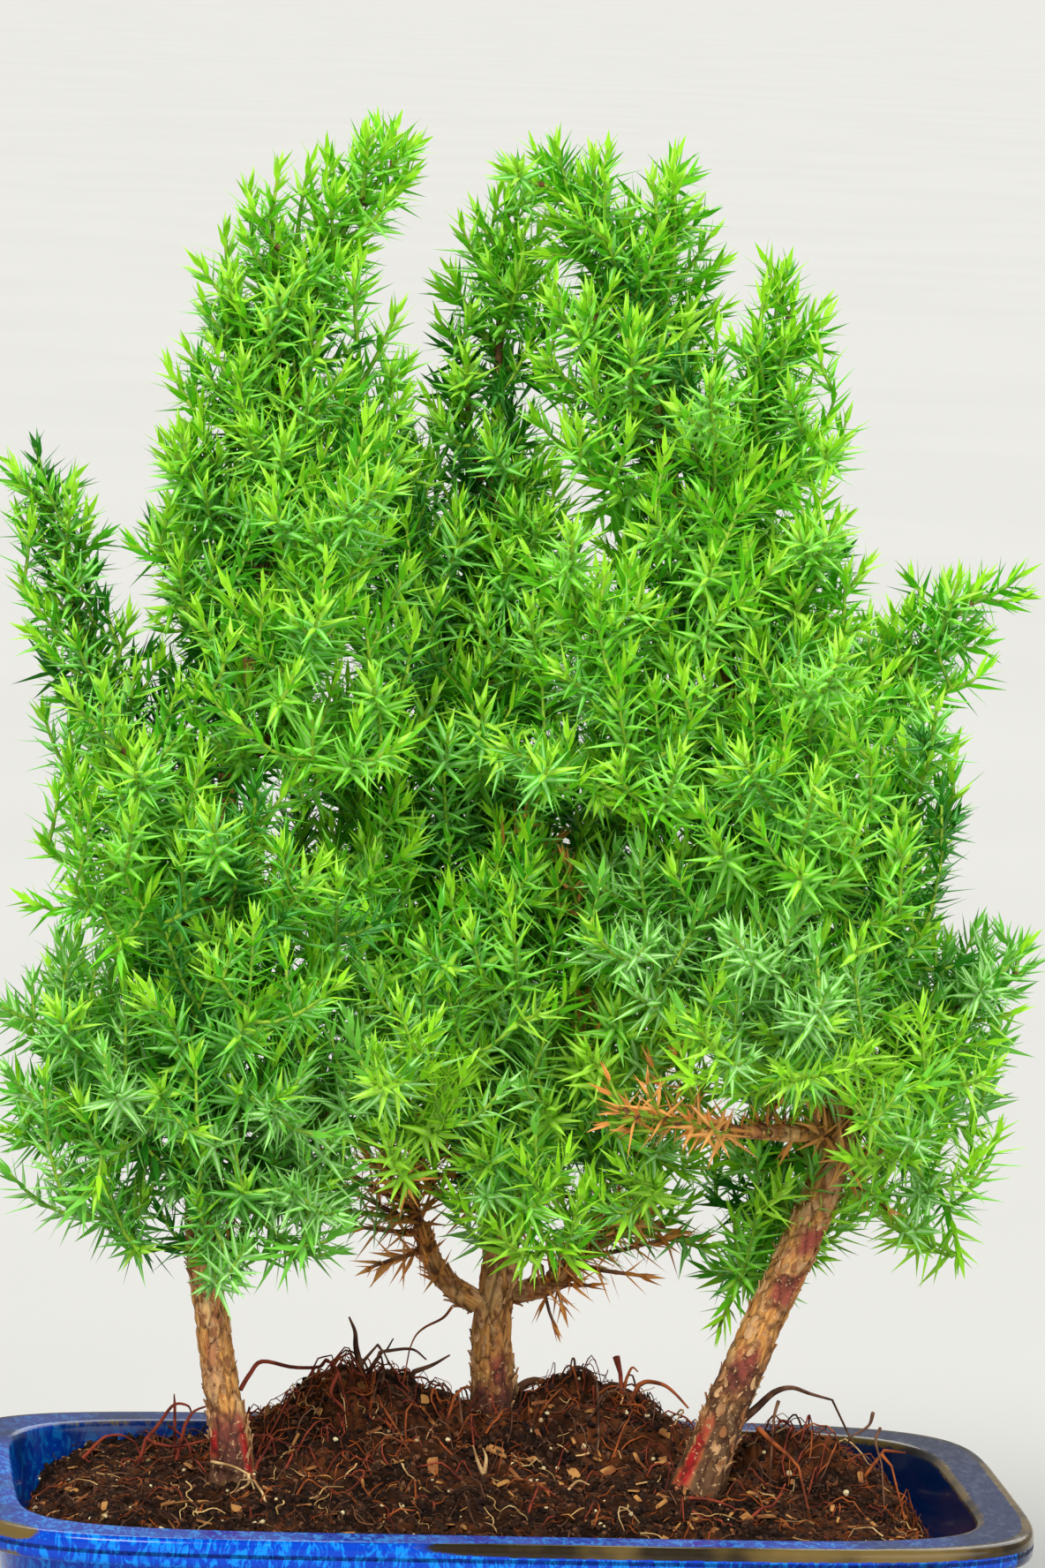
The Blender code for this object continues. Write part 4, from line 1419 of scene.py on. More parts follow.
    def dealt(self, lines: list[Line], mass: Mass, size: Size, dice: np.random.Generator,
              by_place: bool) -> list[Shoot]:
        """Make shoots of one size and deal each its shade.

        Args:
            lines: their lines.
            mass: the mass they belong to.
            size: their size.
            dice: source of their shades and young lengths.
            by_place: whether their places count for their shades.

        Returns:
            The shoots.
        """
        return [Shoot(line, mass, self.deal(mass, dice, line if by_place else None),
                      size.root * MM, size.tip * MM, size.bare * MM, size.woody * MM,
                      dice.uniform(*size.young) * MM) for line in lines]

    def dead_twigs(self) -> list[Shoot]:
        """Grow the dead twigs low on the trunks, and dead tufts along the low boughs.

        Returns:
            The twigs.
        """
        dice = np.random.default_rng(7)
        owners = {mass.tree: mass for mass in MASSES}
        twigs = []
        for twig in DEAD_TWIGS:
            line = self.skeleton.stem_line(self.skeleton.trunks[twig.tree], twig.height,
                                           twig.azimuth, twig.reach, twig.rise, 0.3, 0.5 * MM, 8)
            twigs.append(Shoot(line, owners[twig.tree], DEAD, 0.55 * MM, 0.3 * MM,
                               0.3 * twig.reach * MM, WHOLE))
        for bough in BOUGHS:
            limb = self.skeleton.boughs[bough.name]
            for stop in np.arange(4.0 * MM, limb.length, 2.6 * MM):
                root, radius = limb.at(stop)
                out = unit(dice.normal(size=3) + 0.4 * limb.direction(stop))
                reach = radius + dice.uniform(1.5, 5.0) * MM
                end = root + reach * unit(out + 0.3 * UP)
                line = bezier(root, root + 0.6 * reach * out, end, 4)
                twigs.append(Shoot(line, owners[bough.tree], DEAD, 0.4 * MM, 0.3 * MM,
                                   radius, WHOLE))
        return twigs

    def plumes(self) -> list[Shoot]:
        """Grow the single plumes and dead sprigs that stand out of the masses' outline.

        Returns:
            The plumes.
        """
        masses = {mass.name: mass for mass in MASSES}
        grown = []
        for plume in PLUMES:
            start, end = np.array(plume.start) * MM, np.array(plume.end) * MM
            middle = 0.5 * (start + end) + 0.12 * np.linalg.norm(end - start) * heading(plume.bow)
            woody = 60.0 * MM if plume.shade is DEAD else 2.0 * MM
            grown.append(Shoot(bezier(start, middle, end, 10), masses[plume.mass], plume.shade,
                               0.6 * MM, 0.35 * MM, 1.0 * MM, woody, 6.0 * MM))
        return grown

    @staticmethod
    def rising(root: np.ndarray, leave: np.ndarray, length: float, lift: float,
               samples: int) -> Line:
        """Line of a shoot that turns upward halfway.

        Args:
            root: where it starts.
            leave: its direction at the root.
            length: its length.
            lift: how much it turns upward.
            samples: how many points the line has.

        Returns:
            The line.
        """
        middle = root + 0.5 * length * leave
        end = middle + 0.5 * length * unit(leave + lift * UP)
        return bezier(root, middle, end, samples)

    def kept(self, mass: Mass, line: Line, clear: float, margin: float, rim: float,
             free: int = 0) -> int:
        """Count a line's points up to where it would leave its mass's space.

        Args:
            mass: the mass.
            line: the line.
            clear: how far it keeps from trunks and boughs.
            margin: how much nearer to its own stem than to another it keeps.
            rim: how far inside the crown's sides it keeps.
            free: how many points after the first may leave the space.

        Returns:
            How many points are kept.
        """
        count = 1
        while count < len(line) and self.spaces.off_limbs(line[count], clear) and (
                count <= free or self.spaces.holds(mass.name, line[count], margin, rim)):
            count += 1
        return count

    def side_shoots(self, mass: Mass, stem: Line, seed: int) -> list[Line]:
        """Grow a mass's side shoots by the solids' rule.

        Args:
            mass: the mass.
            stem: its stem.
            seed: number that sets their turns and lengths.

        Returns:
            Their lines, each cut off where it would leave the mass's space.
        """
        dice = np.random.default_rng(seed)
        lengths = lengths_of(stem)
        tangents, first, second = frames(stem)
        shoots = []
        for index in range(mass.count):
            place = (index + 0.4) / mass.count
            around = seed + index * GOLDEN + dice.uniform(-0.25, 0.25)
            level = int(np.searchsorted(
                lengths, self.shoot_first + place * (lengths[-1] - self.shoot_first)))
            radial = around_line(first[level], second[level], around)
            leave = around_line(tangents[level], radial, self.shoot_angle)
            length = (mass.shoot * MM * dice.uniform(0.85, 1.15)
                      * (self.shoot_lowest - self.shoot_loss * place))
            line = self.rising(stem[level], leave, length, self.shoot_lift, self.shoot_samples)
            count = self.kept(mass, line, self.shoot_core, self.shoot_margin, self.shoot_margin, 1)
            if length * (count - 1) / (len(line) - 1) > self.shoot_shortest:
                shoots.append(line[:count])
        return shoots

    def offshoots(self, mass: Mass, parent: Line, rule: Offshoots,
                  dice: np.random.Generator) -> list[Line]:
        """Grow the finer shoots along a shoot.

        Args:
            mass: the mass whose space they keep to.
            parent: the shoot they stand on.
            rule: their spacing, lengths and turn.
            dice: source of their turns and lengths.

        Returns:
            Their lines.
        """
        lengths = lengths_of(parent)
        tangents, first, second = frames(parent)
        count = int((lengths[-1] - rule.first - rule.last) / rule.step) + 1
        around = dice.uniform(0.0, 2.0 * math.pi)
        lines = []
        for index in range(max(0, count)):
            length_here = rule.first + (index + dice.uniform(-0.3, 0.3)) * rule.step
            level = int(np.clip(np.searchsorted(lengths, length_here), 0, len(lengths) - 1))
            root = points_at(length_here, lengths, parent)
            around += GOLDEN + dice.uniform(-0.4, 0.4)
            radial = around_line(first[level], second[level], around)
            leave = around_line(tangents[level], radial, rule.angle)
            share = 1.0 - rule.loss * length_here / lengths[-1]
            length = dice.uniform(rule.shortest, rule.longest) * share
            line = self.rising(root, leave, length, rule.lift, rule.samples)
            inside = self.kept(mass, line, 1.2 * MM, rule.margin, 4.0 * MM)
            if inside > 2:
                lines.append(line[:inside])
        return lines

    def fillers(self, mass: Mass, stem: Line, grown: list[Line],
                dice: np.random.Generator) -> list[Line]:
        """Grow shoots into the parts of a mass's space that are still empty.

        Args:
            mass: the mass whose space they fill.
            stem: its stem.
            grown: its shoots so far.
            dice: source of the places they grow to.

        Returns:
            Their lines.
        """
        known = np.concatenate(grown)
        around = dice.normal(size=(self.fill_tries, 3))
        around /= np.linalg.norm(around, axis=1)[:, None]
        low, high = self.deep_heights
        lines = []
        for out in around:
            place = dice.uniform(0.04, 1.0)
            centre = stem[int(place * (len(stem) - 1))]
            reach = self.fill_reach * mass.shoot * MM * (1.0 - 0.8 * place ** 3)
            spot = centre + out * reach * math.sqrt(dice.uniform()) * self.fill_deep
            deep = (abs(spot[0]) < self.deep_half_length and low < spot[2] / MM < high
                    and abs(spot[1]) < self.deep_half_depth)
            if not deep and np.linalg.norm(spot - centre) > reach:
                continue
            offsets = spot - known
            gaps = np.linalg.norm(offsets, axis=1)
            if gaps.min() < self.fill_gap or not self.spaces.off_limbs(spot, 2.0 * MM) \
                    or not self.spaces.holds(mass.name, spot, -2.0 * MM, 5.0 * MM):
                continue
            root = int(np.argmin(gaps - self.fill_climb * offsets[:, 2]))
            if gaps[root] > self.fill_longest:
                continue
            sagged = known[root] + 0.5 * (spot - known[root]) - self.fill_sag * gaps[root] * UP
            line = bezier(known[root], sagged, spot, 5)
            lines.append(line)
            known = np.vstack((known, line[1:]))
        return lines

    def deal(self, mass: Mass, dice: np.random.Generator, line: Line | None = None) -> Shade:
        """Deal a shoot its shade: the mass's own for most, darker near the trunks as painted
        shade, lighter low at the front as painted light.

        Args:
            mass: the mass it belongs to.
            dice: source of the roll.
            line: the shoot's line, where its place counts.

        Returns:
            The shade.
        """
        roll = dice.uniform()
        rules = [DEALS[mass.shade]]
        if mass.shade is DEAD and mass.tree == "right":
            rules = [((1.0, DEAD),)]
        elif mass.shade is not DEAD and line is not None:
            x, y, z = line[-1] / MM
            near, far = self.withered_depths
            if roll < self.withered_share and near < y < far and any(
                    math.hypot(x - at_x, z - at_z) < radius for at_x, at_z, radius in WITHERED):
                return DEAD
            # Painted light: low shoots at the front are dealt lighter greens.
            if z < self.front_top and y < self.front_depth and self.front_left < x:
                rules = [DEAL_PAINTED_LIGHT_MIDDLE if x < self.front_middle else DEAL_PAINTED_LIGHT_RIGHT]
            # Painted shade: shoots that end near a trunk or bough are dealt the dark green.
            elif np.linalg.norm(self.spaces.limb_points - line[-1], axis=1).min() < self.inside:
                low = line[-1][2] < self.inside_low
                rules.insert(0, DEAL_LOW_INSIDE_DEAD_AND_SHADE if low else DEAL_INSIDE_SHADE)
        return next(shade for rule in rules for share, shade in rule if roll < share)

    def clothe(self, tree: str, shade: Shade, shoots: list[Shoot], needles: Collection) -> None:
        """Stand needles of one shade on a tree's shoots.

        Args:
            tree: the tree's name.
            shade: the shade.
            shoots: every shoot of the tree.
            needles: the needle patterns.
        """
        lines, to_tip = [], []
        for shoot in shoots:
            lengths = lengths_of(shoot.line)
            whole = lengths[-1]
            young = shoot.young if shoot.shade in (BRIGHT, MID) else 0.0
            withers = shoot.mass.shade is BLUE or shoot.shade is DEAD
            for wanted, low, high in ((shoot.shade, young, whole - shoot.bare),
                                      (YOUNG, 0.0, young),
                                      (DEAD, whole - 0.6 * shoot.bare, whole)):
                if wanted is not shade or high - low < self.whorl_step \
                        or (wanted is DEAD and not withers):
                    continue
                count = max(2, int((high - low) / self.line_step) + 1)
                ends = np.linspace(max(high, low), low, count)
                lines.append(points_at(-ends, lengths - whole, shoot.line))
                to_tip.append(ends)
        if not lines:
            return
        host = line_mesh(f"needles_{shade.value}_{tree}", lines, {"to_tip": to_tip})
        blade, band = NEEDLES[shade].materials()
        spacing = 1.0
        if shade is DEAD:
            spacing = self.dead_spacing_centre if tree == "centre" else self.dead_spacing
        grow(host, needle_tree(), {
            "Needles": needles, "Spacing": self.whorl_step * spacing,
            "Length": self.needle_length, "Width": self.needle_width / spacing ** 0.6,
            "Spread": self.needle_spread, "Closed": self.needle_closed,
            "Closing": self.needle_closing, "Jitter": self.needle_jitter,
            "Blade": blade, "Band": band, "Seed": len(lines)})
        slot = {YOUNG: "needles_bright", DEEP: "needles_mid"}.get(
            shade, f"needles_{shade.value}")
        settle(host, slot, [mass.name for mass in MASSES
                            if mass.tree == tree and mass.shade is shade])

    def clad(self, tree: str, kind: Kind, shoots: list[Shoot], material: Material) -> None:
        """Give a tree's shoots their stems, woody near their roots and green beyond.

        Args:
            tree: the tree's name.
            kind: which part of each shoot.
            shoots: every shoot of the tree.
            material: the stem's material.
        """
        lines, girths = [], []
        for shoot in shoots:
            lengths = lengths_of(shoot.line)
            low, high = ((0.0, shoot.woody) if kind is Kind.WOODY
                         else (shoot.woody, lengths[-1] + 0.5 * MM))
            if high - low < 0.5 * MM:
                continue
            at = np.linspace(low, high, max(2, int((high - low) / self.stem_step) + 2))
            onward = shoot.line[-1] + (shoot.line[-1] - shoot.line[-2])
            line = np.vstack((shoot.line, onward))
            reach = np.append(lengths, lengths[-1] + np.linalg.norm(onward - shoot.line[-1]))
            lines.append(points_at(at, reach, line))
            girths.append(np.interp(at, (0.0, lengths[-1]),
                                    (shoot.root_radius, shoot.tip_radius)))
        host = line_mesh(f"stems_{kind.value}_{tree}", lines, {"girth": girths})
        grow(host, stem_tree(), {"Sides": 5 if kind is Kind.WOODY else 4, "Skin": material})
        settle(host, "bark" if kind is Kind.WOODY else "needles_bright")


def line_mesh(name: str, lines: Sequence[Line], values: dict[str, Sequence[np.ndarray]]) -> Object:
    """Make one mesh of many separate lines.

    Args:
        name: the object's name.
        lines: the lines.
        values: for each kept number's name, its values along every line.

    Returns:
        The object, whose points run along each line in turn.
    """
    counts = [len(line) for line in lines]
    starts = np.concatenate(([0], np.cumsum(counts)[:-1]))
    edges = [(start + step, start + step + 1) for start, count in zip(starts, counts)
             for step in range(count - 1)]
    made = new_piece(name, np.concatenate(lines), (), edges=edges)
    for label, kept in values.items():
        store(made, label, np.concatenate(kept))
    return made


def needle_pattern(name: str, bend: float, width: float) -> Object:
    """Make a needle one long and one wide, tip up, with its pale upper side facing -X.

    Args:
        name: the object's name.
        bend: how far its tip leans out.
        width: its width beside the others'.

    Returns:
        The object, its pale faces flagged.
    """
    half, pale = 0.5 * width, 0.22 * width
    points = [(0.0, -0.6 * half, 0.0), (0.0, 0.6 * half, 0.0),
              (0.0, -half, 0.30), (-0.14, -pale, 0.30), (-0.14, pale, 0.30), (0.0, half, 0.30),
              (bend / 0.14, 0.0, 1.0)]
    faces = [(0, 3, 4, 1), (3, 6, 4), (0, 2, 3), (1, 4, 5), (2, 6, 3), (4, 6, 5),
             (0, 1, 5, 2), (2, 5, 6)]
    made = new_piece(name, points, faces)
    store_flags(made, "band", [index < 2 for index in range(len(faces))])
    return made


@cache
def needle_tree() -> NodeTree:
    """Build the geometry tree that stands whorls of three needles along lines.

    Returns:
        The tree.
    """
    nodes, given, result = new_group(
        "GeometryNodeTree", "needles_on_lines",
        {"Lines": "Geometry", "Needles": "Collection", "Spacing": 0.002, "Length": 0.0075,
         "Width": 0.0013, "Spread": 0.9, "Closed": 0.25, "Closing": 0.008, "Jitter": 0.1,
         "Blade": "Material", "Band": "Material", "Seed": 1},
        {"Needles": "Geometry"})
    seed = given["Seed"]
    curve = nodes.out("GeometryNodeMeshToCurve", {"Mesh": given["Lines"]})
    curve = nodes.out("GeometryNodeResampleCurve", {"Curve": curve, "Length": given["Spacing"]},
                      mode="LENGTH")
    tripled = nodes.add("GeometryNodeDuplicateElements", {"Geometry": curve, "Amount": 3},
                        domain="SPLINE").outputs
    to_tip = nodes.named("to_tip")
    angle = nodes.out("ShaderNodeMapRange", {
        "Value": nodes.ramp(to_tip, 0.0, given["Closing"]), "To Min": given["Closed"],
        "To Max": given["Spread"]})
    least = nodes.times(given["Jitter"], -1.0)
    angle = nodes.plus(angle, nodes.chance(seed, 11, least, given["Jitter"]))
    odd = nodes.math("MODULO", nodes.out("GeometryNodeSplineParameter", {}, "Index"), 2.0)
    turn = nodes.plus(nodes.times(tripled["Duplicate Index"], math.tau / 3.0),
                      nodes.times(odd, math.pi / 3.0))
    turn = nodes.plus(turn, nodes.chance(seed, 23, -0.22, 0.22))
    along = nodes.out("FunctionNodeAlignRotationToVector",
                      {"Vector": nodes.out("GeometryNodeInputTangent", {})}, axis="Z")
    rotation = nodes.turned(along, {"X": nodes.chance(seed, 31, -0.12, 0.12), "Y": angle,
                                    "Z": turn})
    length = nodes.times(given["Length"], nodes.ramp(to_tip, -0.001, 0.006, 0.62, 1.0))
    length = nodes.times(length, nodes.chance(seed, 41, 0.82, 1.12))
    width = nodes.times(given["Width"], nodes.chance(seed, 43, 0.85, 1.15))
    scale = nodes.out("ShaderNodeCombineXYZ", {"X": width, "Y": width, "Z": length})
    made = nodes.planted(tripled["Geometry"], given["Needles"], 2, seed, rotation, scale)
    made = nodes.skinned(made, given["Blade"])
    made = nodes.skinned(made, given["Band"], Selection=nodes.named("band", "BOOLEAN"))
    nodes.feed(result, "Needles", made)
    return nodes.tree


@cache
def stem_tree() -> NodeTree:
    """Build the geometry tree that gives lines their thickness.

    Returns:
        The tree.
    """
    nodes, given, result = new_group(
        "GeometryNodeTree", "stems_on_lines",
        {"Lines": "Geometry", "Sides": 5, "Skin": "Material"}, {"Stems": "Geometry"})
    curve = nodes.out("GeometryNodeMeshToCurve", {"Mesh": given["Lines"]})
    ring = nodes.out("GeometryNodeCurvePrimitiveCircle",
                     {"Resolution": given["Sides"], "Radius": 1.0}, mode="RADIUS")
    made = nodes.out("GeometryNodeCurveToMesh", {"Curve": curve, "Profile Curve": ring,
                                                 "Scale": nodes.named("girth"), "Fill Caps": True})
    made = nodes.out("GeometryNodeRealizeInstances", {"Geometry": made})
    nodes.feed(result, "Stems", nodes.skinned(made, given["Skin"]))
    return nodes.tree


@cache
def scatter_tree() -> NodeTree:
    """Build the geometry tree that scatters patterns over a surface and leaves it out.

    Returns:
        The tree.
    """
    nodes, given, result = new_group(
        "GeometryNodeTree", "scatter_on_surface",
        {"Surface": "Geometry", "Patterns": "Collection", "Most": 2, "Density": 1000.0,
         "Mask": "String", "Smallest": 0.001, "Largest": 0.003, "Spin": 0.3, "Tilt": 0.2,
         "Sink": 0.0, "Material": "Material", "Seed": 1},
        {"Pieces": "Geometry"})
    seed = given["Seed"]
    density = nodes.times(given["Density"], nodes.named(given["Mask"]))
    spread = nodes.add("GeometryNodeDistributePointsOnFaces",
                       {"Mesh": given["Surface"], "Density": density, "Seed": seed},
                       distribute_method="RANDOM").outputs
    facing = nodes.out("FunctionNodeAxesToRotation",
                       {"Primary Axis": spread["Normal"],
                        "Secondary Axis": nodes.named("grain", "FLOAT_VECTOR")},
                       primary_axis="Z", secondary_axis="X")
    angles = {}
    for axis, amount, step in (("X", "Tilt", 3), ("Y", "Tilt", 7), ("Z", "Spin", 13)):
        least = nodes.times(given[amount], -1.0)
        angles[axis] = nodes.chance(seed, step, least, given[amount])
    down = nodes.out("ShaderNodeVectorMath", {0: spread["Normal"], "Scale": given["Sink"]},
                     operation="SCALE")
    points = nodes.out("GeometryNodeSetPosition", {"Geometry": spread["Points"], "Offset": down})
    size = nodes.chance(seed, 17, given["Smallest"], given["Largest"])
    made = nodes.planted(points, given["Patterns"], given["Most"], seed,
                         nodes.turned(facing, angles), size)
    nodes.feed(result, "Pieces", nodes.skinned(made, given["Material"]))
    return nodes.tree


# The pot


@dataclass
class Pot:
    """Glazed tray: a soft rectangle in plan, a flat turned-out rim and four corner feet."""

    half_length: float = 100.0 * MM
    half_depth: float = 62.0 * MM
    height: float = 50.0 * MM
    squareness: float = 5.6
    rim_width: float = 10.0 * MM
    lip: float = 5.5 * MM
    wall: float = 5.5 * MM
    wall_slope: float = 9.0 * MM
    wall_foot: float = 2.5 * MM
    floor: float = 6.0 * MM
    foot_height: float = 3.5 * MM
    foot_inset: float = 15.0 * MM
    foot_width: float = 9.0 * MM
    foot_root: float = 1.5 * MM
    foot_gap: tuple[float, float] = (59.0 * MM, 24.0 * MM)
    softness: float = 1.5 * MM
    sides: int = 288
    break_from: float = -24.0 * MM
    break_corner: tuple[float, float] = (-94.0 * MM, -52.0 * MM)
    bare_height: float = 1.6 * MM

    def plan_point(self, turn: float, inset: float, z: float) -> tuple[float, float, float]:
        """Find a point on the pot's outline.

        Args:
            turn: angle round the pot, in radians.
            inset: how far the outline is drawn in.
            z: its height.

        Returns:
            The point.
        """
        power = 2.0 / self.squareness
        cosine, sine = math.cos(turn), math.sin(turn)
        return ((self.half_length - inset) * math.copysign(abs(cosine) ** power, cosine),
                (self.half_depth - inset) * math.copysign(abs(sine) ** power, sine), z)

    def ring(self, inset: float, z: float) -> list[tuple[float, float, float]]:
        """The outline at a height, drawn in by an inset."""
        turns = round_turns(self.sides)
        return [self.plan_point(turn, inset, z) for turn in turns]

    def inner_inset(self, z: float) -> float:
        """How far the wall's inner face is from the rim's outer edge at a height."""
        return self.rim_width + self.wall_slope * (self.height - z) / self.height

    def profile(self) -> list[tuple[float, float, float]]:
        """Inset, height and edge mask down the section, from underside to inner floor.

        Returns:
            The rounded section.
        """
        low, lip = self.foot_height, self.height - self.lip
        corners = [(self.inner_inset(low) - self.wall + self.wall_foot, low, 0.8, 0.3),
                   (self.inner_inset(low) - self.wall, low + self.wall_foot, 0.8, 0.4),
                   (self.inner_inset(lip) - self.wall, lip, 1.2, 0.0),
                   (0.0, lip, 0.9, 0.62),
                   (0.0, self.height, 1.0, 1.0),
                   (self.rim_width, self.height, 0.9, 0.66),
                   (self.inner_inset(low + self.floor), low + self.floor, 1.5, 0.0)]
        section = []
        for index, (inset, z, soft, edge) in enumerate(corners):
            here = np.array((inset, z))
            if index in (0, len(corners) - 1):
                section.append((inset, z, edge))
                continue
            before = unit(np.array(corners[index - 1][:2]) - here) * self.softness * soft
            after = unit(np.array(corners[index + 1][:2]) - here) * self.softness * soft
            for lead, mask in ((2.2, 0.0), (1.5, 0.55 * edge)):
                section.append((*(here + before * lead), mask))
            for t in np.linspace(0.0, 1.0, 6):
                point = here + (1 - t) ** 2 * before + t ** 2 * after
                section.append((*point, edge * (0.85 + 0.6 * t * (1 - t))))
            for lead, mask in ((1.5, 0.55 * edge), (2.2, 0.0)):
                section.append((*(here + after * lead), mask))
        return section

    def build(self) -> None:
        """Build the tray and its feet, keep its masks and glaze it."""
        section = self.profile()
        vertices, faces = loft([self.ring(inset, z) for inset, z, _ in section])
        tray = new_piece("pot_glazed", vertices, faces, smooth=True)
        feet = [self.foot(f"foot_{sx}_{sy}", sx, sy) for sx in (-1, 1) for sy in (-1, 1)]
        tray = joined("pot_glazed", [tray, *feet])
        places = np.array([v.co for v in tray.data.vertices])
        edge = np.zeros(len(places))
        edge[:len(vertices)] = np.repeat([mask for _, _, mask in section], self.sides)
        store(tray, "edge", edge * self.thinning(places))
        x, y, z = places.T
        # Painted shade: the ends and back are marked for darker navy glaze, the front wall much
        # less.
        end = (eased(x, 55.0 * MM, 35.0 * MM) + 0.25 * eased(-x, 85.0 * MM, 10.0 * MM)
               + 0.55 * eased(y, 20.0 * MM, 20.0 * MM))
        front_wall = (z < self.height - self.softness) & (y < -50.0 * MM)
        store(tray, "end", np.clip(np.where(front_wall, 0.25 * end, end), 0.0, 1.0))
        store(tray, "bare", eased(-z, -self.bare_height, 0.5 * MM))
        tray.data.materials.clear()
        tray.data.materials.append(GlazeFinish().material())
        settle(tray, "glaze", ["pot"])

    def thinning(self, places: np.ndarray) -> np.ndarray:
        """How thin the glaze lies: on edges right of the middle, behind and at one corner.

        Args:
            places: the pot's points.

        Returns:
            A share for each point.
        """
        x, y = places[:, 0], places[:, 1]
        corner_x, corner_y = self.break_corner
        right = eased(x, self.break_from, 8.0 * MM)
        corner = np.exp(-((x - corner_x) ** 2 + (y - corner_y) ** 2) / (6.0 * MM) ** 2)
        back = 0.8 * eased(y, 30.0 * MM, 20.0 * MM)
        return np.clip(0.42 + 0.58 * np.maximum(np.maximum(right, back), 1.4 * corner), 0.0, 1.0)

    def foot(self, name: str, side_x: int, side_y: int) -> Object:
        """Make one corner foot, which follows the outline.

        Args:
            name: the object's name.
            side_x: 1 for the right end, -1 for the left.
            side_y: 1 for the back, -1 for the front.

        Returns:
            The foot.
        """
        rings = []
        for grow_by, z in ((0.5 * MM, 0.0), (0.0, 0.6 * MM),
                           (0.0, self.foot_height + self.foot_root)):
            outline = []
            for inset in (self.foot_inset + grow_by,
                          self.foot_inset + self.foot_width - grow_by):
                turns = np.linspace(0.0, 0.5 * math.pi, 41)
                edge = [self.plan_point(turn, inset, z) for turn in turns]
                edge = [p for p in edge if p[0] > self.foot_gap[0] + grow_by
                        and p[1] > self.foot_gap[1] + grow_by]
                first = (edge[0][0], self.foot_gap[1] + grow_by, z)
                last = (self.foot_gap[0] + grow_by, edge[-1][1], z)
                outline.append([first, *edge, last])
            count = min(len(part) for part in outline)
            whole = [part[int(i)] for part, order in ((outline[0], 1), (outline[1], -1))
                     for i in np.linspace(0, len(part) - 1, count)[::order].round()]
            rings.append([(side_x * x, side_y * y, zz) for x, y, zz in whole])
        if side_x * side_y < 0:
            rings = [ring[::-1] for ring in rings]
        return new_piece(name, *loft(rings))


# Bark


class Patch(NamedTuple):
    """A coloured patch on a trunk: heights above the soil, azimuth, half width and mask."""

    tree: str
    azimuth: float
    low: float
    high: float
    spread: float
    mask: str


PATCHES = (
    Patch("left", -38, -1, 11.5, 24, "streak"),
    Patch("left", -150, 4, 9, 18, "streak"),
    Patch("right", -135, -1, 13, 20, "streak"),
    Patch("right", -100, 17, 27, 40, "flush"),
    Patch("right", -85, 34, 41, 45, "flush"),
    Patch("right", -70, 44, 50, 45, "flush"),
    Patch("left", -85, 0, 13, 60, "flush"),
    Patch("centre", -80, 8, 15, 30, "flush"),
    Patch("centre", -95, 0, 9, 60, "flush"),
)


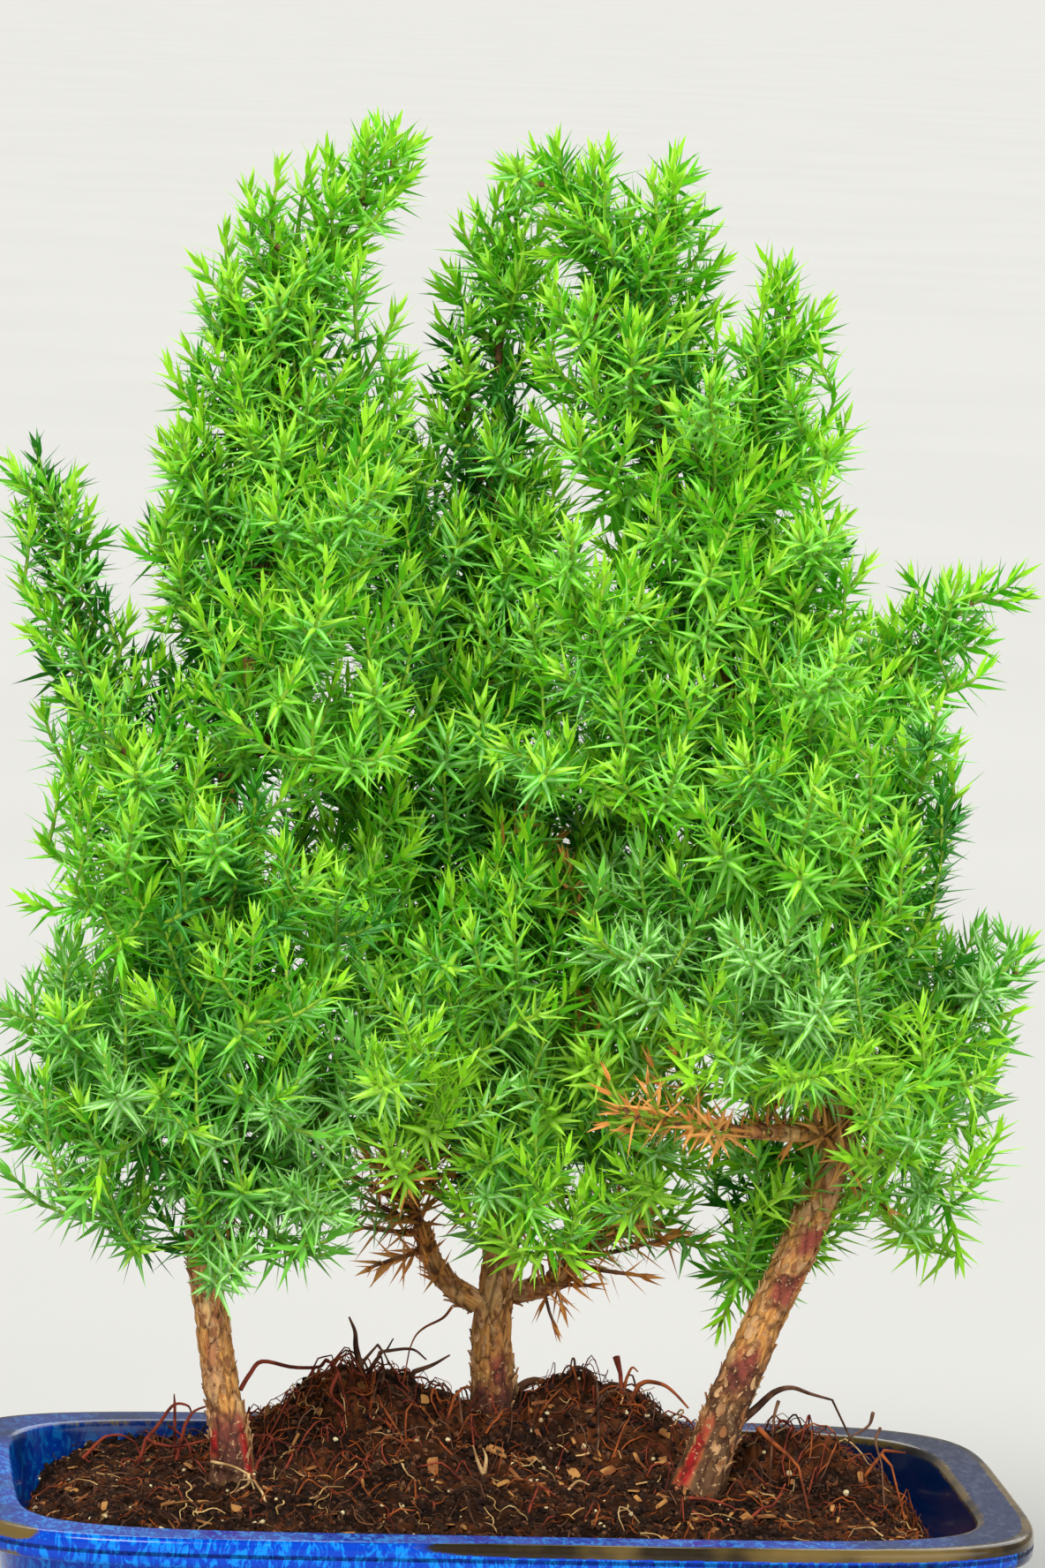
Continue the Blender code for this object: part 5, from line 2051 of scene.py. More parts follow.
@dataclass
class Bark:
    """Trunks and boughs with the bark's relief, flakes and colour masks."""

    skeleton: Skeleton
    groups: Groups
    ground: Callable[[float, float], float]
    trunk_sides: int = 64
    bough_sides: int = 28
    fine_step: float = 0.5 * MM
    coarse_step: float = 1.3 * MM
    fine_height: float = 78.0 * MM
    relief: float = 0.55 * MM
    flare: float = 0.45
    flare_height: float = 6.0 * MM
    flare_lobes: int = 4
    flare_lobe_share: float = 0.28
    sunk: float = 3.0 * MM
    bough_root: float = 1.8 * MM
    slimness: float = 0.92
    plate_size: tuple[float, float] = (0.44, 0.15)
    crack_width: float = 0.20
    young_radius: float = 1.5 * MM
    full_radius: float = 3.6 * MM
    soiled: float = 15.0
    soiled_right: float = 27.0
    flaky_height: float = 90.0 * MM
    flake_shapes: tuple[tuple[float, float], ...] = ((0.22, 0.5), (0.35, 0.36), (0.15, 0.62))
    flake_density: float = 0.16 / MM ** 2
    masks: tuple[str, ...] = ("crack", "plate", "flush", "streak", "dirt", "youth", "flaky")

    def build(self) -> None:
        """Build every trunk and bough, and their loose flakes."""
        material = BarkFinish(self.groups).material()
        limbs = [(f"{tree}_trunk", limb, self.trunk_sides, tree)
                 for tree, limb in self.skeleton.trunks.items()]
        limbs += [(name, limb, self.bough_sides, None)
                  for name, limb in self.skeleton.boughs.items()]
        pieces = []
        for name, limb, sides, tree in limbs:
            pieces.append(self.tube(f"{name}_bark", limb, sides, tree, material))
            settle(pieces[-1], "bark", [name])
        self.flakes(pieces)

    def tube(self, name: str, limb: Limb, sides: int, tree: str | None,
             material: Material) -> Object:
        """Skin one limb.

        Args:
            name: the piece's name.
            limb: its middle line and radii.
            sides: points round it.
            tree: the tree whose trunk it is, or None for a bough.
            material: its bark.

        Returns:
            The piece, with its UV map and masks.
        """
        stops = [0.0]
        while stops[-1] < limb.length:
            fine = tree is None or stops[-1] < self.fine_height
            stops.append(stops[-1] + (self.fine_step if fine else self.coarse_step))
        stops[-1] = limb.length
        places = [limb.at(stop) for stop in stops]
        points = np.array([point for point, _ in places])
        radii = np.array([radius for _, radius in places])
        if tree is None:
            points[0] -= self.bough_root * unit(points[1] - points[0])
        else:
            radii = radii * self.slimness
            points = np.vstack((points[0] - self.sunk * UP, points))
            radii = np.insert(radii, 0, radii[0])
            stops = [-self.sunk, *stops]
        tangents, first, _ = frames(points)
        foot = self.ground(points[0][0], points[0][1]) if tree else 0.0
        rings, rows, grain = [], [], []
        for level, point in enumerate(points):
            length = max(0.0, stops[level])
            tilt = min(1.0, length / (4.0 * self.flare_height)) if tree else 1.0
            spread = self.flare * math.exp(-length / self.flare_height) if tree else 0.0
            normal = unit((1.0 - tilt) * UP + tilt * tangents[level])
            across = unit(first[level] - normal * np.dot(first[level], normal))
            along = np.cross(normal, across)
            ring = []
            for turn in round_turns(sides):
                lobe = 1.0 - self.flare_lobe_share * (1.0 - math.cos(self.flare_lobes * turn))
                out = around_line(across, along, turn)
                place = point + radii[level] * (1.0 + spread * lobe) * out
                height, row = self.weathering(place, out, radii[level], tree, place[2] - foot)
                ring.append(place + height * out)
                rows.append(row)
                grain.append(tangents[level])
            rings.append(ring)
        made = new_piece(name, *loft(rings), [material], smooth=True)
        for column, label in enumerate(self.masks):
            store(made, label, [row[column] for row in rows])
        store_directions(made, "grain", grain)
        self.unwrap(made, sides, stops, radii)
        return made

    def weathering(self, place: np.ndarray, out: np.ndarray, radius: float, tree: str | None,
                   above: float) -> tuple[float, tuple[float, ...]]:
        """Relief and masks of the bark at one point.

        Args:
            place: the point on the smooth limb.
            out: direction away from the limb's middle line.
            radius: the limb's radius there.
            tree: the tree whose trunk it is, or None for a bough.
            above: height above the soil.

        Returns:
            How far the point stands out, and its masks in the order of their names.
        """
        spot = Vector(place / MM)
        level, upright = self.plate_size
        gaps, seeds = noise.voronoi(Vector((spot.x * level, spot.y * level, spot.z * upright)))
        border = min(1.0, (gaps[1] - gaps[0]) / self.crack_width)
        tone = 0.5 + 0.5 * noise.noise(seeds[0] * 7.3)
        rough = noise.fractal(spot * 0.9, 0.8, 2.1, 3)
        wander = noise.noise(Vector((spot.x * 0.35, spot.y * 0.35, spot.z * 0.06)))
        youth = float(eased(-radius, -self.young_radius, 0.5 * MM)) if tree else 0.0
        old = 1.0 - youth
        strength = self.relief * min(1.0, radius / self.full_radius) * (1.0 - 0.85 * youth)
        height = strength * (0.55 * (border - 1.0) + 0.5 * (tone - 0.5) + 0.22 * rough
                             + 0.4 * wander)
        marks = {"flush": 0.0, "streak": 0.0}
        azimuth = math.degrees(math.atan2(out[1], out[0]))
        for patch in PATCHES:
            if patch.tree != tree:
                continue
            gap = abs((azimuth - patch.azimuth + 180.0) % 360.0 - 180.0) / patch.spread
            middle, half = 0.5 * (patch.low + patch.high), 0.5 * (patch.high - patch.low)
            reach = abs(above / MM - middle) / half
            ragged = 1.25 - max(gap, reach) ** 2 + 0.6 * wander + 0.25 * rough
            marks[patch.mask] = max(marks[patch.mask], float(np.clip(ragged, 0.0, 1.0)))
        dirt = 0.0
        if tree:
            soiled = self.soiled_right if tree == "right" else self.soiled
            dirt = float(np.clip((soiled - above / MM + 7.0 * wander + 5.0 * rough) / 12.0,
                                 0.0, 0.85))
        crack = (1.0 - border) ** 1.5 * old * 0.9
        plate = float(np.clip((tone - 0.52) * 2.6 + 0.5 * rough, 0.0, 1.0)) * old
        red = max(0.0, min(1.0, 2.5 * (wander - 0.22)))
        flush = max(marks["flush"], 0.55 * red * old)
        share = 1.0 if tree is None or above < self.flaky_height else 0.25
        flaky = old * (1.0 - marks["flush"]) * share * (above > 4 * MM or not tree)
        return height, (crack, plate, flush, marks["streak"], dirt * (1.0 - marks["streak"]),
                        youth, flaky)

    @staticmethod
    def unwrap(made: Object, sides: int, stops: Sequence[float], radii: np.ndarray) -> None:
        """Lay a UV map in millimetres: round the limb across, along the limb up.

        Args:
            made: the limb's piece.
            sides: points round it.
            stops: length along the limb of each ring.
            radii: radius of each ring.
        """
        layer = made.data.uv_layers.new(name="bark")
        girth = 2.0 * math.pi * float(np.mean(radii)) / MM
        for face in made.data.polygons:
            columns = [made.data.loops[loop].vertex_index % sides for loop in face.loop_indices]
            wraps = len(face.vertices) == 4 and max(columns) - min(columns) > 1
            for loop, column in zip(face.loop_indices, columns):
                level = made.data.loops[loop].vertex_index // sides
                turned = column + (sides if wraps and column == 0 else 0)
                layer.data[loop].uv = (turned / sides * girth, stops[level] / MM)

    def flakes(self, limbs: list[Object]) -> None:
        """Scatter loose flakes, raised at one end, over the bark.

        Args:
            limbs: the trunks and boughs.
        """
        patterns = collected("flakes", [flake_pattern(f"flake_{index}", lift, width)
                                        for index, (lift, width) in enumerate(self.flake_shapes)])
        finish = PlainFinish("bark_flakes", (0.62, 0.36, 0.17), (0.30, 0.12, 0.045), self.groups,
                             350.0)
        values = {"Patterns": patterns, "Most": 2, "Density": self.flake_density, "Mask": "flaky",
                  "Smallest": 1.2 * MM, "Largest": 3.2 * MM, "Spin": 0.35, "Tilt": 0.18,
                  "Sink": -0.1 * MM, "Material": finish.material(), "Seed": 5}
        pieces = [scattered("flakes_" + limb.name, limb, values) for limb in limbs]
        settle(joined("bark_flakes", pieces), "bark")
        discard(patterns)


def flake_pattern(name: str, lift: float, width: float) -> Object:
    """Make a thin curled flake one long, lying along X, its far end raised.

    Args:
        name: the object's name.
        lift: how high its far end is raised.
        width: its greatest width.

    Returns:
        The object, closed.
    """
    stations = ((-0.5, 0.45, 0.0), (-0.2, 1.0, 0.02), (0.15, 0.85, 0.35), (0.5, 0.3, 1.0))
    rings = []
    for x, wide, high in stations:
        half, z = 0.5 * width * wide, lift * high
        rings.append([(x, -half, z), (x, 0.0, z - 0.07), (x, half, z), (x, 0.0, z + 0.09)])
    return new_piece(name, *loft(rings))


# The soil


@dataclass
class Soil:
    """Fibrous mix: a low dome with heaps, sunk at its ends, under crumbs, grit and roots."""

    pot: Pot
    groups: Groups
    edge: float = 46.0 * MM
    dome: float = 5.5 * MM
    heaps: tuple[tuple[float, float, float, float], ...] = (
        (-26.0, 21.0, 14.0, 19.0), (20.0, 22.0, 12.0, 16.0), (60.0, 10.0, 9.0, 14.0))
    mounds: tuple[tuple[float, float, float, float], ...] = (
        (-88.0, 28.0, -9.0, 12.0), (86.0, -10.0, -9.0, 13.0), (86.0, 20.0, -7.0, 14.0),
        (-10.0, 24.0, 5.0, 14.0), (10.0, 20.0, 3.5, 11.0), (31.0, 17.0, 5.0, 12.0),
        (74.0, -3.0, 6.0, 11.0))
    end_dip: float = 6.0 * MM
    end: float = 74.0 * MM
    end_span: float = 14.0 * MM
    clear: float = 0.25 * MM
    columns: int = 330
    rows: int = 190
    skirt: float = 20.0 * MM
    lump_scale: float = 0.36
    small_scale: float = 0.85
    clod_scale: float = 0.15
    broad_scale: float = 0.11
    fine_scale: float = 1.7
    crack_width: float = 0.25

    def height(self, x: float, y: float) -> float:
        """Height of the smooth surface at a place, as the solid has it.

        Args:
            x: place along the pot.
            y: place across the pot.

        Returns:
            The height.
        """
        along = max(0.0, 1.0 - (x / (0.9 * self.pot.half_length)) ** 2)
        across = max(0.0, 1.0 - (y / (0.85 * self.pot.half_depth)) ** 2)
        z = self.edge + self.dome * along * across
        for at_x, at_y, high, radius in self.heaps:
            z += high * MM * hill(x / MM, y / MM, at_x, at_y, radius)
        beyond = max(0.0, abs(x) - self.end) / self.end_span
        return z - self.end_dip * min(1.0, beyond) ** 2

    def surface_height(self, x: float, y: float) -> tuple[float, float, float]:
        """Height of the crumbly surface at a place.

        Args:
            x: place along the pot.
            y: place across the pot.

        Returns:
            Height, crack mask (painted shade in the cracks) and fibre mask.
        """
        z = self.height(x, y)
        u, v = x / MM, y / MM
        for at_x, at_y, high, radius in self.mounds:
            z += high * MM * hill(u, v, at_x, at_y, radius)
        heaped = max(hill(u, v, at_x, at_y, 1.3 * radius) for at_x, at_y, _, radius in self.heaps)
        place = Vector((u, v, 0.0))
        lumps, _ = noise.voronoi(place * self.lump_scale)
        small, _ = noise.voronoi(place * self.small_scale + Vector((3.1, 5.7, 0.0)))
        broad = noise.fractal(place * self.broad_scale, 0.9, 2.0, 3)
        fine = noise.noise(place * self.fine_scale)
        border = min(1.0, (lumps[1] - lumps[0]) / self.crack_width)
        clods, _ = noise.voronoi(place * self.clod_scale + Vector((1.7, 0.3, 0.0)))
        rise = (1.2 + 1.3 * heaped) * broad + 1.0 * (0.5 - lumps[0]) + 0.6 * (0.5 - small[0])
        rise += (1.0 + 2.6 * heaped) * (0.45 - clods[0])
        rise += 0.25 * fine - 0.5 * (1.0 - border)
        right = min(1.0, max(0.0, (u - 45.0) / 20.0))
        fibrous = min(1.0, 0.25 + 0.75 * heaped + 0.6 * right + 0.4 * broad)
        return z + rise * MM, 0.75 * (1.0 - border), max(0.0, fibrous)

    def build(self) -> None:
        """Build the soil's body and scatter its crumbs, grit, chips and fibres."""
        body = self.body()
        self.litter(body)
        body.data.materials.append(SoilFinish(self.groups).material())
        settle(body, "soil", ["soil"])

    def body(self) -> Object:
        """Make the soil's closed body, its top a fine grid drawn into the pot's outline.

        Returns:
            The body, with its masks.
        """
        power = self.pot.squareness
        inset = self.pot.inner_inset(self.edge - self.end_dip) + self.clear
        half_x, half_y = self.pot.half_length - inset, self.pot.half_depth - inset
        vertices, shaded_cracks, fibres = [], [], []
        for t in np.linspace(-1.0, 1.0, self.rows):
            for s in np.linspace(-1.0, 1.0, self.columns):
                most = max(abs(s), abs(t), 1e-9)
                round_off = ((abs(s) / most) ** power + (abs(t) / most) ** power) ** (-1 / power)
                x, y = s * half_x * round_off, t * half_y * round_off
                z, crack, fibre = self.surface_height(x, y)
                vertices.append((x, y, z))
                shaded_cracks.append(crack)
                fibres.append(fibre)
        faces = [(row * self.columns + col, row * self.columns + col + 1,
                  (row + 1) * self.columns + col + 1, (row + 1) * self.columns + col)
                 for row in range(self.rows - 1) for col in range(self.columns - 1)]
        last = (self.rows - 1) * self.columns
        rim = (list(range(self.columns))
               + [row * self.columns + self.columns - 1 for row in range(1, self.rows)]
               + [last + col for col in range(self.columns - 2, -1, -1)]
               + [row * self.columns for row in range(self.rows - 2, 0, -1)])
        start = len(vertices)
        low = self.edge - self.skirt
        shrink = (half_x - self.pot.inner_inset(low) + self.pot.inner_inset(self.edge)) / half_x
        for index in rim:
            x, y, _ = vertices[index]
            vertices.append((x * shrink, y * shrink, low))
        for step, index in enumerate(rim):
            after = (step + 1) % len(rim)
            faces.append((rim[after], index, start + step, start + after))
        faces.append(tuple(range(start + len(rim) - 1, start - 1, -1)))
        body = new_piece("soil_body", vertices, faces, smooth=True)
        # The crack mask carries painted shade into the soil's material.
        for mask, top in (("crack", shaded_cracks), ("fibrous", fibres), ("bed", [1.0] * len(shaded_cracks))):
            store(body, mask, top + [0.0] * len(rim))
        store_directions(body, "grain", [(1.0, 0.0, 0.0)] * len(vertices))
        return body

    def litter(self, body: Object) -> None:
        """Scatter what lies on the soil, from a table of patterns, amounts, sizes and colours.

        Args:
            body: the soil's body.
        """
        kinds = {
            "crumbs": [lump_pattern(f"crumb_{i}", 1, 0.35, i) for i in range(4)],
            "stones": [lump_pattern(f"stone_{i}", 2, 0.12, 20 + i) for i in range(3)],
            "chips": [chip_pattern(f"chip_{i}", wide) for i, wide in enumerate((0.35, 0.6, 0.22))],
            "hairs": [hair_pattern(f"hair_{i}", i) for i in range(6)]}
        groups = {kind: collected(kind, items) for kind, items in kinds.items()}
        for seed, (name, look, kind, density, mask, sizes, tilt, sink, light, dark, blotch,
                   rough) in enumerate(LITTER, start=40):
            finish = PlainFinish(look, light, dark, self.groups, blotch, rough)
            host = scattered(name, body, {
                "Patterns": groups[kind], "Most": len(kinds[kind]) - 1,
                "Density": density / MM ** 2, "Mask": mask, "Smallest": sizes[0] * MM,
                "Largest": sizes[1] * MM, "Spin": math.pi, "Tilt": tilt, "Sink": sink * MM,
                "Material": finish.material(), "Seed": seed})
            settle(host, "soil")
        for group in groups.values():
            discard(group)


# For each kind of litter: piece, finish, pattern, amount for each square millimetre, where it
# lies, sizes in millimetres, tilt, depth, two colours, how fine its blotches are, roughness.
LITTER = (
    ("soil_crumbs_dark", "crumb_dark", "crumbs", 0.20, "bed", (0.7, 2.2), 0.9, 0.1,
     (0.045, 0.019, 0.010), (0.009, 0.004, 0.003), 400.0, 0.85),
    ("soil_crumbs_brown", "crumb_brown", "crumbs", 0.10, "bed", (0.5, 1.7), 0.9, 0.1,
     (0.15, 0.065, 0.030), (0.045, 0.018, 0.009), 400.0, 0.85),
    ("soil_grit", "grit", "stones", 0.0065, "bed", (0.5, 1.5), 0.9, 0.2,
     (0.82, 0.72, 0.42), (0.55, 0.42, 0.22), 300.0, 0.6),
    ("soil_chips", "chip", "chips", 0.014, "bed", (1.2, 3.6), 0.5, 0.35,
     (0.50, 0.24, 0.07), (0.22, 0.075, 0.025), 200.0, 0.85),
    ("soil_fibres_rust", "fibre_rust", "hairs", 0.085, "fibrous", (2.0, 6.5), 0.8, 0.35,
     (0.350, 0.077, 0.013), (0.096, 0.021, 0.006), 150.0, 0.85),
    ("soil_fibres_dark", "fibre_dark", "hairs", 0.030, "bed", (3.0, 7.0), 0.7, 0.3,
     (0.140, 0.059, 0.028), (0.036, 0.013, 0.008), 150.0, 0.85),
    ("soil_fibres_straw", "straw", "hairs", 0.006, "bed", (3.0, 7.0), 0.5, 0.4,
     (0.70, 0.45, 0.18), (0.42, 0.24, 0.08), 150.0, 0.85),
)
# Surface roots by colour: points in millimetres, root and tip radius.
ROOTS: dict[str, tuple[tuple[tuple[tuple[float, float, float], ...], float, float], ...]] = {
    "red": (
        (((-47, 8, 64.6), (-45.2, 10, 67.2), (-42.7, 13, 69.2), (-36.7, 14, 68),
          (-31.6, 14, 68.2), (-30.4, 13, 69.8), (-28.2, 12, 67.6)), 0.50, 0.40),
        (((-28.2, 12, 67.6), (-29.6, 10, 63.7), (-27.1, 8, 60.8), (-28.2, 6, 55.3)), 0.42, 0.30),
        (((-76, 18, 48.8), (-73, 18, 52.1), (-71.4, 18, 53.2), (-68.7, 18, 53.4),
          (-66.1, 18, 52.1)), 0.40, 0.30),
        (((-64.2, 14, 53.6), (-62.1, 14, 56.2), (-59.3, 14, 60.2), (-56.6, 14, 60.2),
          (-55.7, 14, 58.7)), 0.45, 0.30),
        (((-57.1, 12, 56.7), (-55.5, 12, 59.4), (-52.6, 12, 60.7)), 0.40, 0.30),
        (((-60.2, 12, 56.6), (-58.4, 12, 55.4), (-56.5, 12, 53.6)), 0.35, 0.25),
        (((-64.3, 12, 54), (-62.1, 12, 53), (-57.8, 12, 52.7), (-52.3, 12, 54.2)), 0.40, 0.30),
        (((-59, 14, 60.2), (-59.2, 14, 62.4)), 0.35, 0.20),
        (((-45.6, 2, 56.8), (-41.5, 2, 57.2)), 0.35, 0.25),
        (((-44.2, -4, 52.6), (-42, -2, 55.8), (-41.5, -2, 57.2)), 0.35, 0.25),
        (((-38.8, -6, 52.3), (-37.5, -5, 55.1)), 0.35, 0.25),
        (((35.8, -22, 51.4), (40.1, -22, 51.1), (44.1, -24, 50.1)), 0.40, 0.30),
        (((35.9, -28, 50.1), (40.1, -30, 47.6), (43.2, -32, 46.4)), 0.40, 0.25),
        (((45.1, -30, 47.7), (49, -26, 50.3), (51.7, -24, 50.9), (54.5, -18, 53.6)), 0.40, 0.30),
        (((25.9, 20, 70.1), (26.6, 18, 67.3)), 0.80, 0.70),
    ),
    "orange": (
        (((-24.9, 16, 63.9), (-21.2, 13, 62.8), (-17.7, 6, 58.9), (-15.6, 0, 55.4)), 0.40, 0.30),
        (((-5.6, 14, 62.9), (-3.8, 15, 64.5), (-1.6, 15, 64.7)), 0.35, 0.25),
        (((30, 16, 65.5), (31.7, 16, 66.2), (34.7, 15, 65.8), (36.9, 14, 64.3),
          (39.1, 11, 62.2)), 0.55, 0.35),
        (((27.8, 18, 66.3), (28.8, 18, 68.5), (30, 18, 67.7)), 0.35, 0.25),
        (((75.1, -4, 57.6), (79.2, -4, 57.2)), 0.40, 0.30),
        (((74.3, -6, 57.1), (76, -8, 55.4)), 0.40, 0.30),
        (((-6.3, 18, 79.6), (-8, 18, 77.4), (-11.2, 19, 75.4), (-12.9, 20, 73.5),
          (-14, 20, 70.9)), 0.30, 0.25),
        (((50.8, -4, 61.4), (52.9, -8, 59.7), (55.4, -12, 58), (57.3, -15, 56.2)), 0.55, 0.40),
    ),
    "grey": (
        (((-25.9, 19, 77.0), (-24.6, 20, 74.0), (-24.3, 20, 71.0), (-23.2, 20, 66.6)), 0.20, 1.30),
        (((-12.8, 22, 66.1), (-9.3, 22, 67.5), (-6, 22, 69.5)), 0.60, 0.30),
        (((-20, 22, 71.2), (-18.6, 22, 69.9), (-17, 22, 72.5)), 0.35, 0.25),
        (((-19.1, 22, 69.9), (-13.5, 22, 70.5), (-10.5, 22, 68.5)), 0.40, 0.30),
        (((7.4, 24, 62.6), (9.7, 25, 64), (12.3, 25, 64.1), (16.2, 24, 61.8)), 0.95, 0.80),
        (((16.7, 22, 66.1), (18.8, 22, 67.6), (21.9, 18, 65.8), (21.5, 6, 58),
          (21, 2, 55.7)), 0.45, 0.30),
        (((47.7, -4, 63), (50.4, -3, 65.1), (53.9, -1, 67.8), (57.5, 1, 68.4), (61.3, 2, 67.1),
          (65.7, 3, 65.8)), 0.85, 0.35),
        (((54.7, -2, 66.3), (53.8, -4, 64.2), (53.2, -7, 62)), 0.40, 0.30),
        (((73.8, 4, 63.3), (72.7, 2, 61.1), (69.1, 0, 59.3)), 0.40, 0.30),
        (((74.7, 0, 61.1), (73.5, -3, 59.1), (74.1, -8, 55.7)), 0.35, 0.25),
    ),
    "straw": (
        (((-53.1, -8, 53.8), (-49.2, -10, 53.4), (-46.2, -12, 52.3)), 0.35, 0.30),
        (((-46.2, -12, 52.3), (-46.6, -15, 50.9), (-50.4, -18, 49.6)), 0.35, 0.25),
        (((-1.3, -6, 51.6), (-2.6, -6, 54.5), (-3.6, -6, 57.5)), 0.50, 0.25),
        (((-1.3, -6, 51.6), (-1, -6, 55), (-1.7, -6, 57)), 0.50, 0.25),
        (((13.5, -15, 50.7), (15.7, -14, 52.6), (17.9, -14, 51.9)), 0.35, 0.25),
    ),
}


@dataclass
class SurfaceRoots:
    """Roots that lie over the soil or arch out of it: the ones seen, and finer ones between."""

    soil: Soil
    groups: Groups
    fine: int = 560
    high: float = 0.8 * MM
    heap_share: float = 0.72
    heap_odds: tuple[float, float, float] = (0.5, 0.24, 0.26)
    heap_spread: float = 0.72
    along: tuple[float, float] = (-80.0, 80.0)
    across: tuple[float, float] = (-42.0, 40.0)
    half_length: float = 86.0
    half_depth: float = 48.0
    colours: tuple[tuple[str, float, Colour, Colour], ...] = (
        ("red", 0.36, (0.30, 0.052, 0.026), (0.090, 0.016, 0.010)),
        ("orange", 0.30, (0.38, 0.098, 0.024), (0.14, 0.032, 0.012)),
        ("grey", 0.26, (0.17, 0.080, 0.044), (0.045, 0.019, 0.011)),
        ("straw", 0.08, (0.70, 0.48, 0.22), (0.34, 0.19, 0.075)))

    def build(self) -> None:
        """Build one piece for each colour."""
        dice = np.random.default_rng(11)
        for name, share, light, dark in self.colours:
            lines, girths = [], []
            for points, root, tip in ROOTS[name]:
                line = smooth_line(points, 4 * len(points)) * MM
                ground = np.array([self.soil.surface_height(x, y)[0] for x, y, _ in line])
                line[:, 2] = np.maximum(line[:, 2], ground)
                gaps = line[:, 2] - ground
                if gaps.min() > self.high:
                    end = 0 if gaps[0] < gaps[-1] else len(line) - 1
                    lean = unit(line[end] - line[1 if end == 0 else -2])
                    below = line[end] + gaps[end] * (0.7 * lean - UP) - 0.5 * MM * UP
                    line = np.insert(line, 0 if end == 0 else len(line), below, axis=0)
                lines.append(line)
                girths.append(np.linspace(root, 0.6 * tip, len(line)) * MM)
            for _ in range(int(self.fine * share)):
                line = self.rootlet(dice)
                lines.append(line)
                girths.append(np.linspace(1.0, 0.55, len(line)) * dice.uniform(0.09, 0.27) * MM)
            host = line_mesh(f"roots_{name}", lines, {"girth": girths})
            skin = PlainFinish(f"root_{name}", light, dark, self.groups, 260.0)
            grow(host, stem_tree(), {"Sides": 6, "Skin": skin.material()})
            settle(host, "soil")

    def rootlet(self, dice: np.random.Generator) -> Line:
        """Draw a fine root that wanders over the soil and arches out of it.

        Args:
            dice: source of its place and course.

        Returns:
            Its line.
        """
        if dice.uniform() < self.heap_share:
            x, y, _, radius = self.soil.heaps[int(dice.choice(3, p=self.heap_odds))]
            x, y = dice.normal((x, y), self.heap_spread * radius)
        else:
            x, y = dice.uniform(*self.along), dice.uniform(*self.across)
        turn, bend = dice.uniform(0.0, 2.0 * math.pi), dice.normal(0.0, 0.22)
        step, high = dice.uniform(0.45, 1.5), dice.uniform(0.3, 1.0) ** 2 * 4.5
        line = []
        for place in np.linspace(0.0, 1.0, 9):
            x = float(np.clip(x + step * math.cos(turn), -self.half_length, self.half_length))
            y = float(np.clip(y + step * math.sin(turn), -self.half_depth, self.half_depth))
            turn += bend + dice.normal(0.0, 0.18)
            ground = self.soil.surface_height(x * MM, y * MM)[0]
            line.append((x * MM, y * MM, ground + (high * math.sin(math.pi * place) - 0.2) * MM))
        return np.array(line)


def lump_pattern(name: str, detail: int, jitter: float, seed: int) -> Object:
    """Make a rough lump about one across.

    Args:
        name: the object's name.
        detail: how finely it is divided.
        jitter: how rough it is.
        seed: number that sets its shape.

    Returns:
        The object.
    """
    dice = np.random.default_rng(seed)
    work = bmesh.new()
    bmesh.ops.create_icosphere(work, subdivisions=detail, radius=0.5)
    squash = dice.uniform(0.6, 1.0, 3)
    for vertex in work.verts:
        vertex.co *= 1.0 + dice.uniform(-jitter, jitter)
        vertex.co = Vector(np.array(vertex.co) * squash)
    mesh = bpy.data.meshes.new(name)
    work.to_mesh(mesh)
    work.free()
    return linked(name, mesh)


def chip_pattern(name: str, width: float) -> Object:
    """Make a thin chip of wood one long, lying along X.

    Args:
        name: the object's name.
        width: its width.

    Returns:
        The object.
    """
    ends = ((-0.5, -0.3, 0.5), (-0.35, -0.5, 0.5), (0.3, -0.5, 0.4), (0.5, -0.2, 0.3))
    rings = [[(x, width * low, 0.04), (x + 0.03, width * high, 0.05),
              (x + 0.03, width * high, 0.13), (x, width * low, 0.12)] for x, low, high in ends]
    return new_piece(name, *loft([ring[::-1] for ring in rings]))


def hair_pattern(name: str, seed: int) -> Object:
    """Make a wavy root hair one long, three-sided.

    Args:
        name: the object's name.
        seed: number that sets its bends.

    Returns:
        The object.
    """
    dice = np.random.default_rng(70 + seed)
    bends = dice.uniform(-0.14, 0.14, (5, 3))
    bends[:, 2] = np.abs(bends[:, 2]) * (0.2, 0.9, 1.3, 0.9, 0.2)
    spine = np.stack((np.linspace(-0.5, 0.5, 5), bends[:, 1], bends[:, 2]), axis=1)
    line = smooth_line(spine, 8)
    tangents, first, second = frames(line)
    rings = [[point + radius * around_line(first[i], second[i], turn)
              for turn in (0.0, 2.0 * math.pi / 3.0, 4.0 * math.pi / 3.0)]
             for i, (point, radius) in enumerate(zip(line, np.linspace(0.028, 0.014, 8)))]
    return new_piece(name, *loft(rings))


# Studio and camera


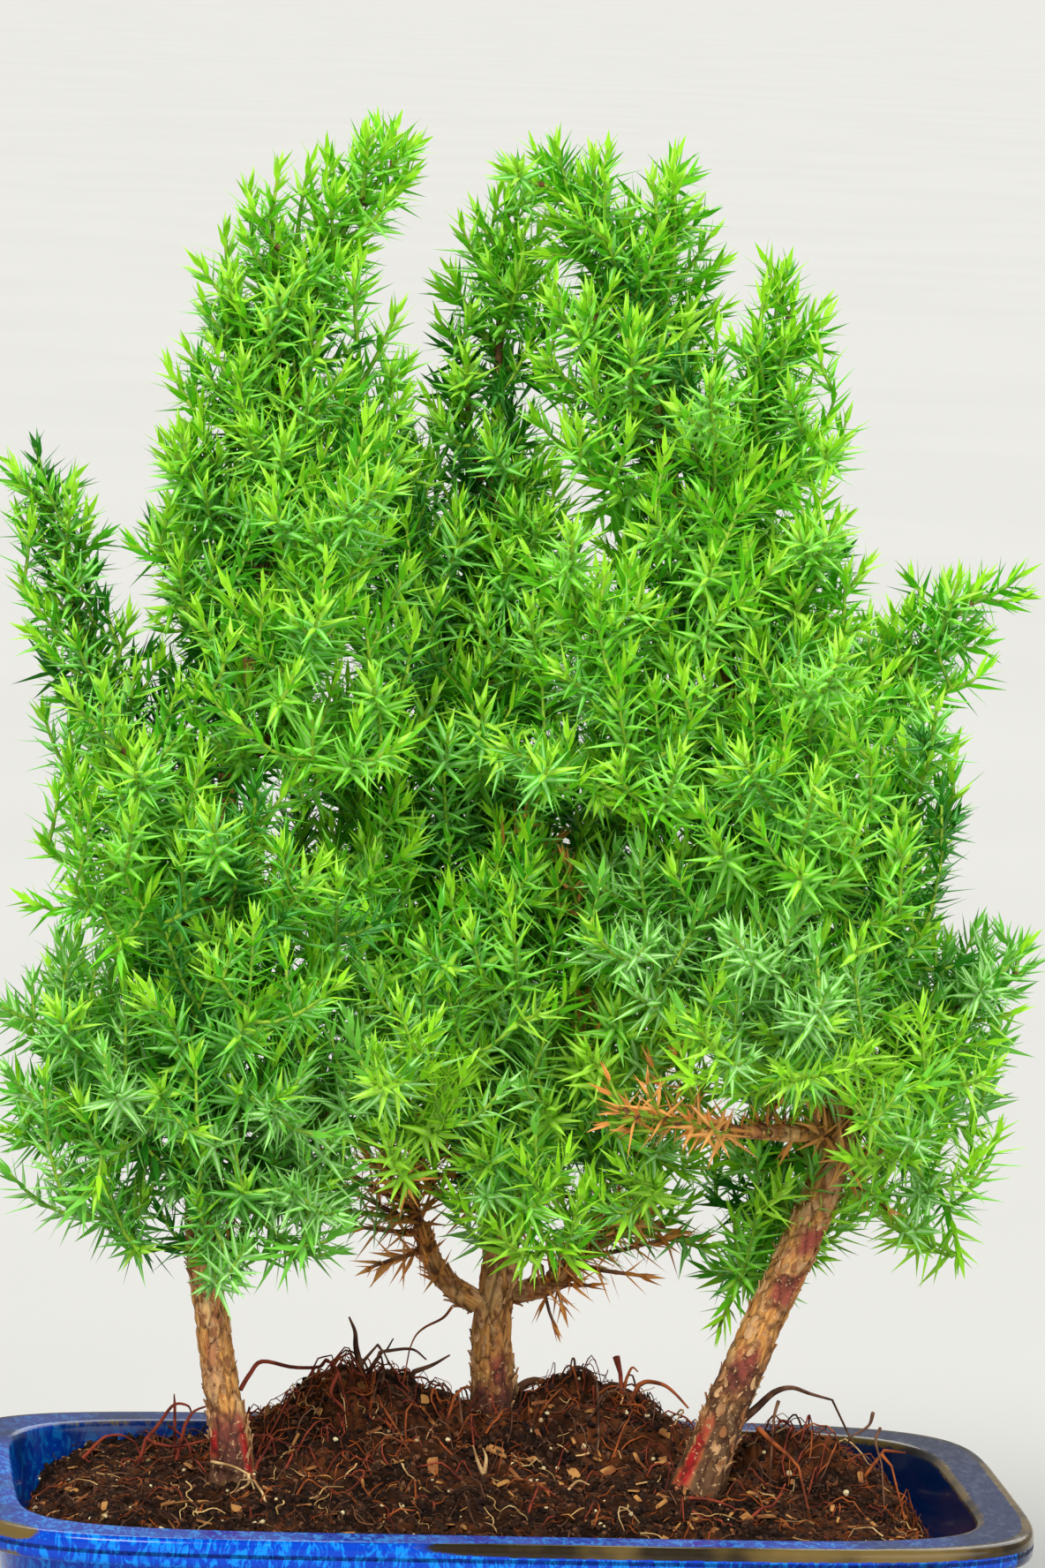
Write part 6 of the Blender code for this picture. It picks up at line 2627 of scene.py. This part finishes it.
@dataclass
class Studio:
    """Pale floor, soft light and the camera."""

    focal: float = 182.4
    sensor: float = 36.0
    clip: tuple[float, float] = (0.05, 100.0)
    place: tuple[float, float, float] = (-0.1449, -1.4756, 0.3468)
    yaw: float = math.radians(5.67)
    pitch: float = math.radians(6.319)
    roll: float = math.radians(2.185)
    floor_radius: float = 60.0
    floor_drop: float = 0.02 * MM
    floor_dark: Colour = (0.62, 0.62, 0.60)
    floor_light: Colour = (0.66, 0.66, 0.645)
    lamps: tuple[tuple[str, tuple[float, float, float], float, float, Colour], ...] = (
        ("key", (-0.45, -1.0, 1.15), 24.0, 2.8, (1.0, 0.98, 0.94)),
        ("fill", (0.9, -1.0, 0.4), 50.0, 1.4, (0.98, 0.99, 1.0)),
        ("back", (0.35, 1.0, 0.9), 45.0, 1.2, (1.0, 0.99, 0.97)))
    world_colour: Colour = (0.88, 0.89, 0.90)
    world_strength: float = 0.32

    def build(self) -> None:
        """Build the floor, the lights and the camera."""
        self.floor()
        for lamp in self.lamps:
            self.light(*lamp)
        world = bpy.data.worlds.new("studio")
        bpy.context.scene.world = world
        world.use_nodes = True
        shade = world.node_tree.nodes["Background"]
        shade.inputs["Color"].default_value = (*self.world_colour, 1.0)
        shade.inputs["Strength"].default_value = self.world_strength
        bpy.context.scene.view_settings.view_transform = "Standard"
        self.camera()

    def floor(self) -> None:
        """Lay the floor."""
        material, nodes, shader = new_material("floor", {"Roughness": 0.9})
        mask = nodes.ramp(nodes.noise(3.0, nodes.place()), 0.3, 0.7, 0.0, 0.5)
        nodes.feed(shader, "Base Color", nodes.mix(mask, self.floor_dark, self.floor_light))
        ring = [(self.floor_radius * math.cos(t), self.floor_radius * math.sin(t),
                 -self.floor_drop) for t in round_turns(64)]
        new_piece("floor", ring, [tuple(range(64))], [material])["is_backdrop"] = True

    @staticmethod
    def light(name: str, place: tuple[float, float, float], softness: float, power: float,
              colour: Colour) -> None:
        """Shine one soft light on the planting and the whole floor.

        Args:
            name: the light's name.
            place: where it shines from.
            softness: its width, in degrees.
            power: its strength.
            colour: its colour.
        """
        data = bpy.data.lights.new(name, "SUN")
        data.angle, data.energy, data.color = math.radians(softness), power, colour
        lamp = linked(name, data)
        lamp.location = place
        lamp.rotation_euler = Vector(place).to_track_quat("Z", "Y").to_euler()

    def camera(self) -> None:
        """Set up the camera."""
        forward = np.array((math.sin(self.yaw) * math.cos(self.pitch),
                            math.cos(self.yaw) * math.cos(self.pitch), -math.sin(self.pitch)))
        level = np.array((math.cos(self.yaw), -math.sin(self.yaw), 0.0))
        above = np.cross(level, forward)
        right = math.cos(self.roll) * level + math.sin(self.roll) * above
        up = -math.sin(self.roll) * level + math.cos(self.roll) * above
        data = bpy.data.cameras.new("camera")
        data.lens, data.sensor_width = self.focal, self.sensor
        data.clip_start, data.clip_end = self.clip
        camera = linked("camera", data)
        columns = np.column_stack((right, up, -forward, self.place))
        camera.matrix_world = Matrix((*columns.tolist(), (0.0, 0.0, 0.0, 1.0)))
        bpy.context.scene.camera = camera


def main() -> None:
    """Build the whole planting, report each piece and log the box round what is seen."""
    logging.basicConfig(level=logging.INFO, format="%(message)s")
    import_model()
    groups = Groups()
    pot = Pot()
    pot.build()
    soil = Soil(pot, groups)
    soil.build()
    skeleton = Skeleton()
    skeleton.build(soil.height)
    Bark(skeleton, groups, soil.height).build()
    limbs = list(skeleton.trunks.values()) + list(skeleton.boughs.values())
    Crown(skeleton, Spaces(skeleton.stems, limbs), groups).build()
    SurfaceRoots(soil, groups).build()
    Studio().build()
    seen_box = [list(corner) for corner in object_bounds()]
    LOG.info("box %s", [[round(v / MM, 1) for v in corner] for corner in seen_box])


if __name__ == "__main__":
    main()
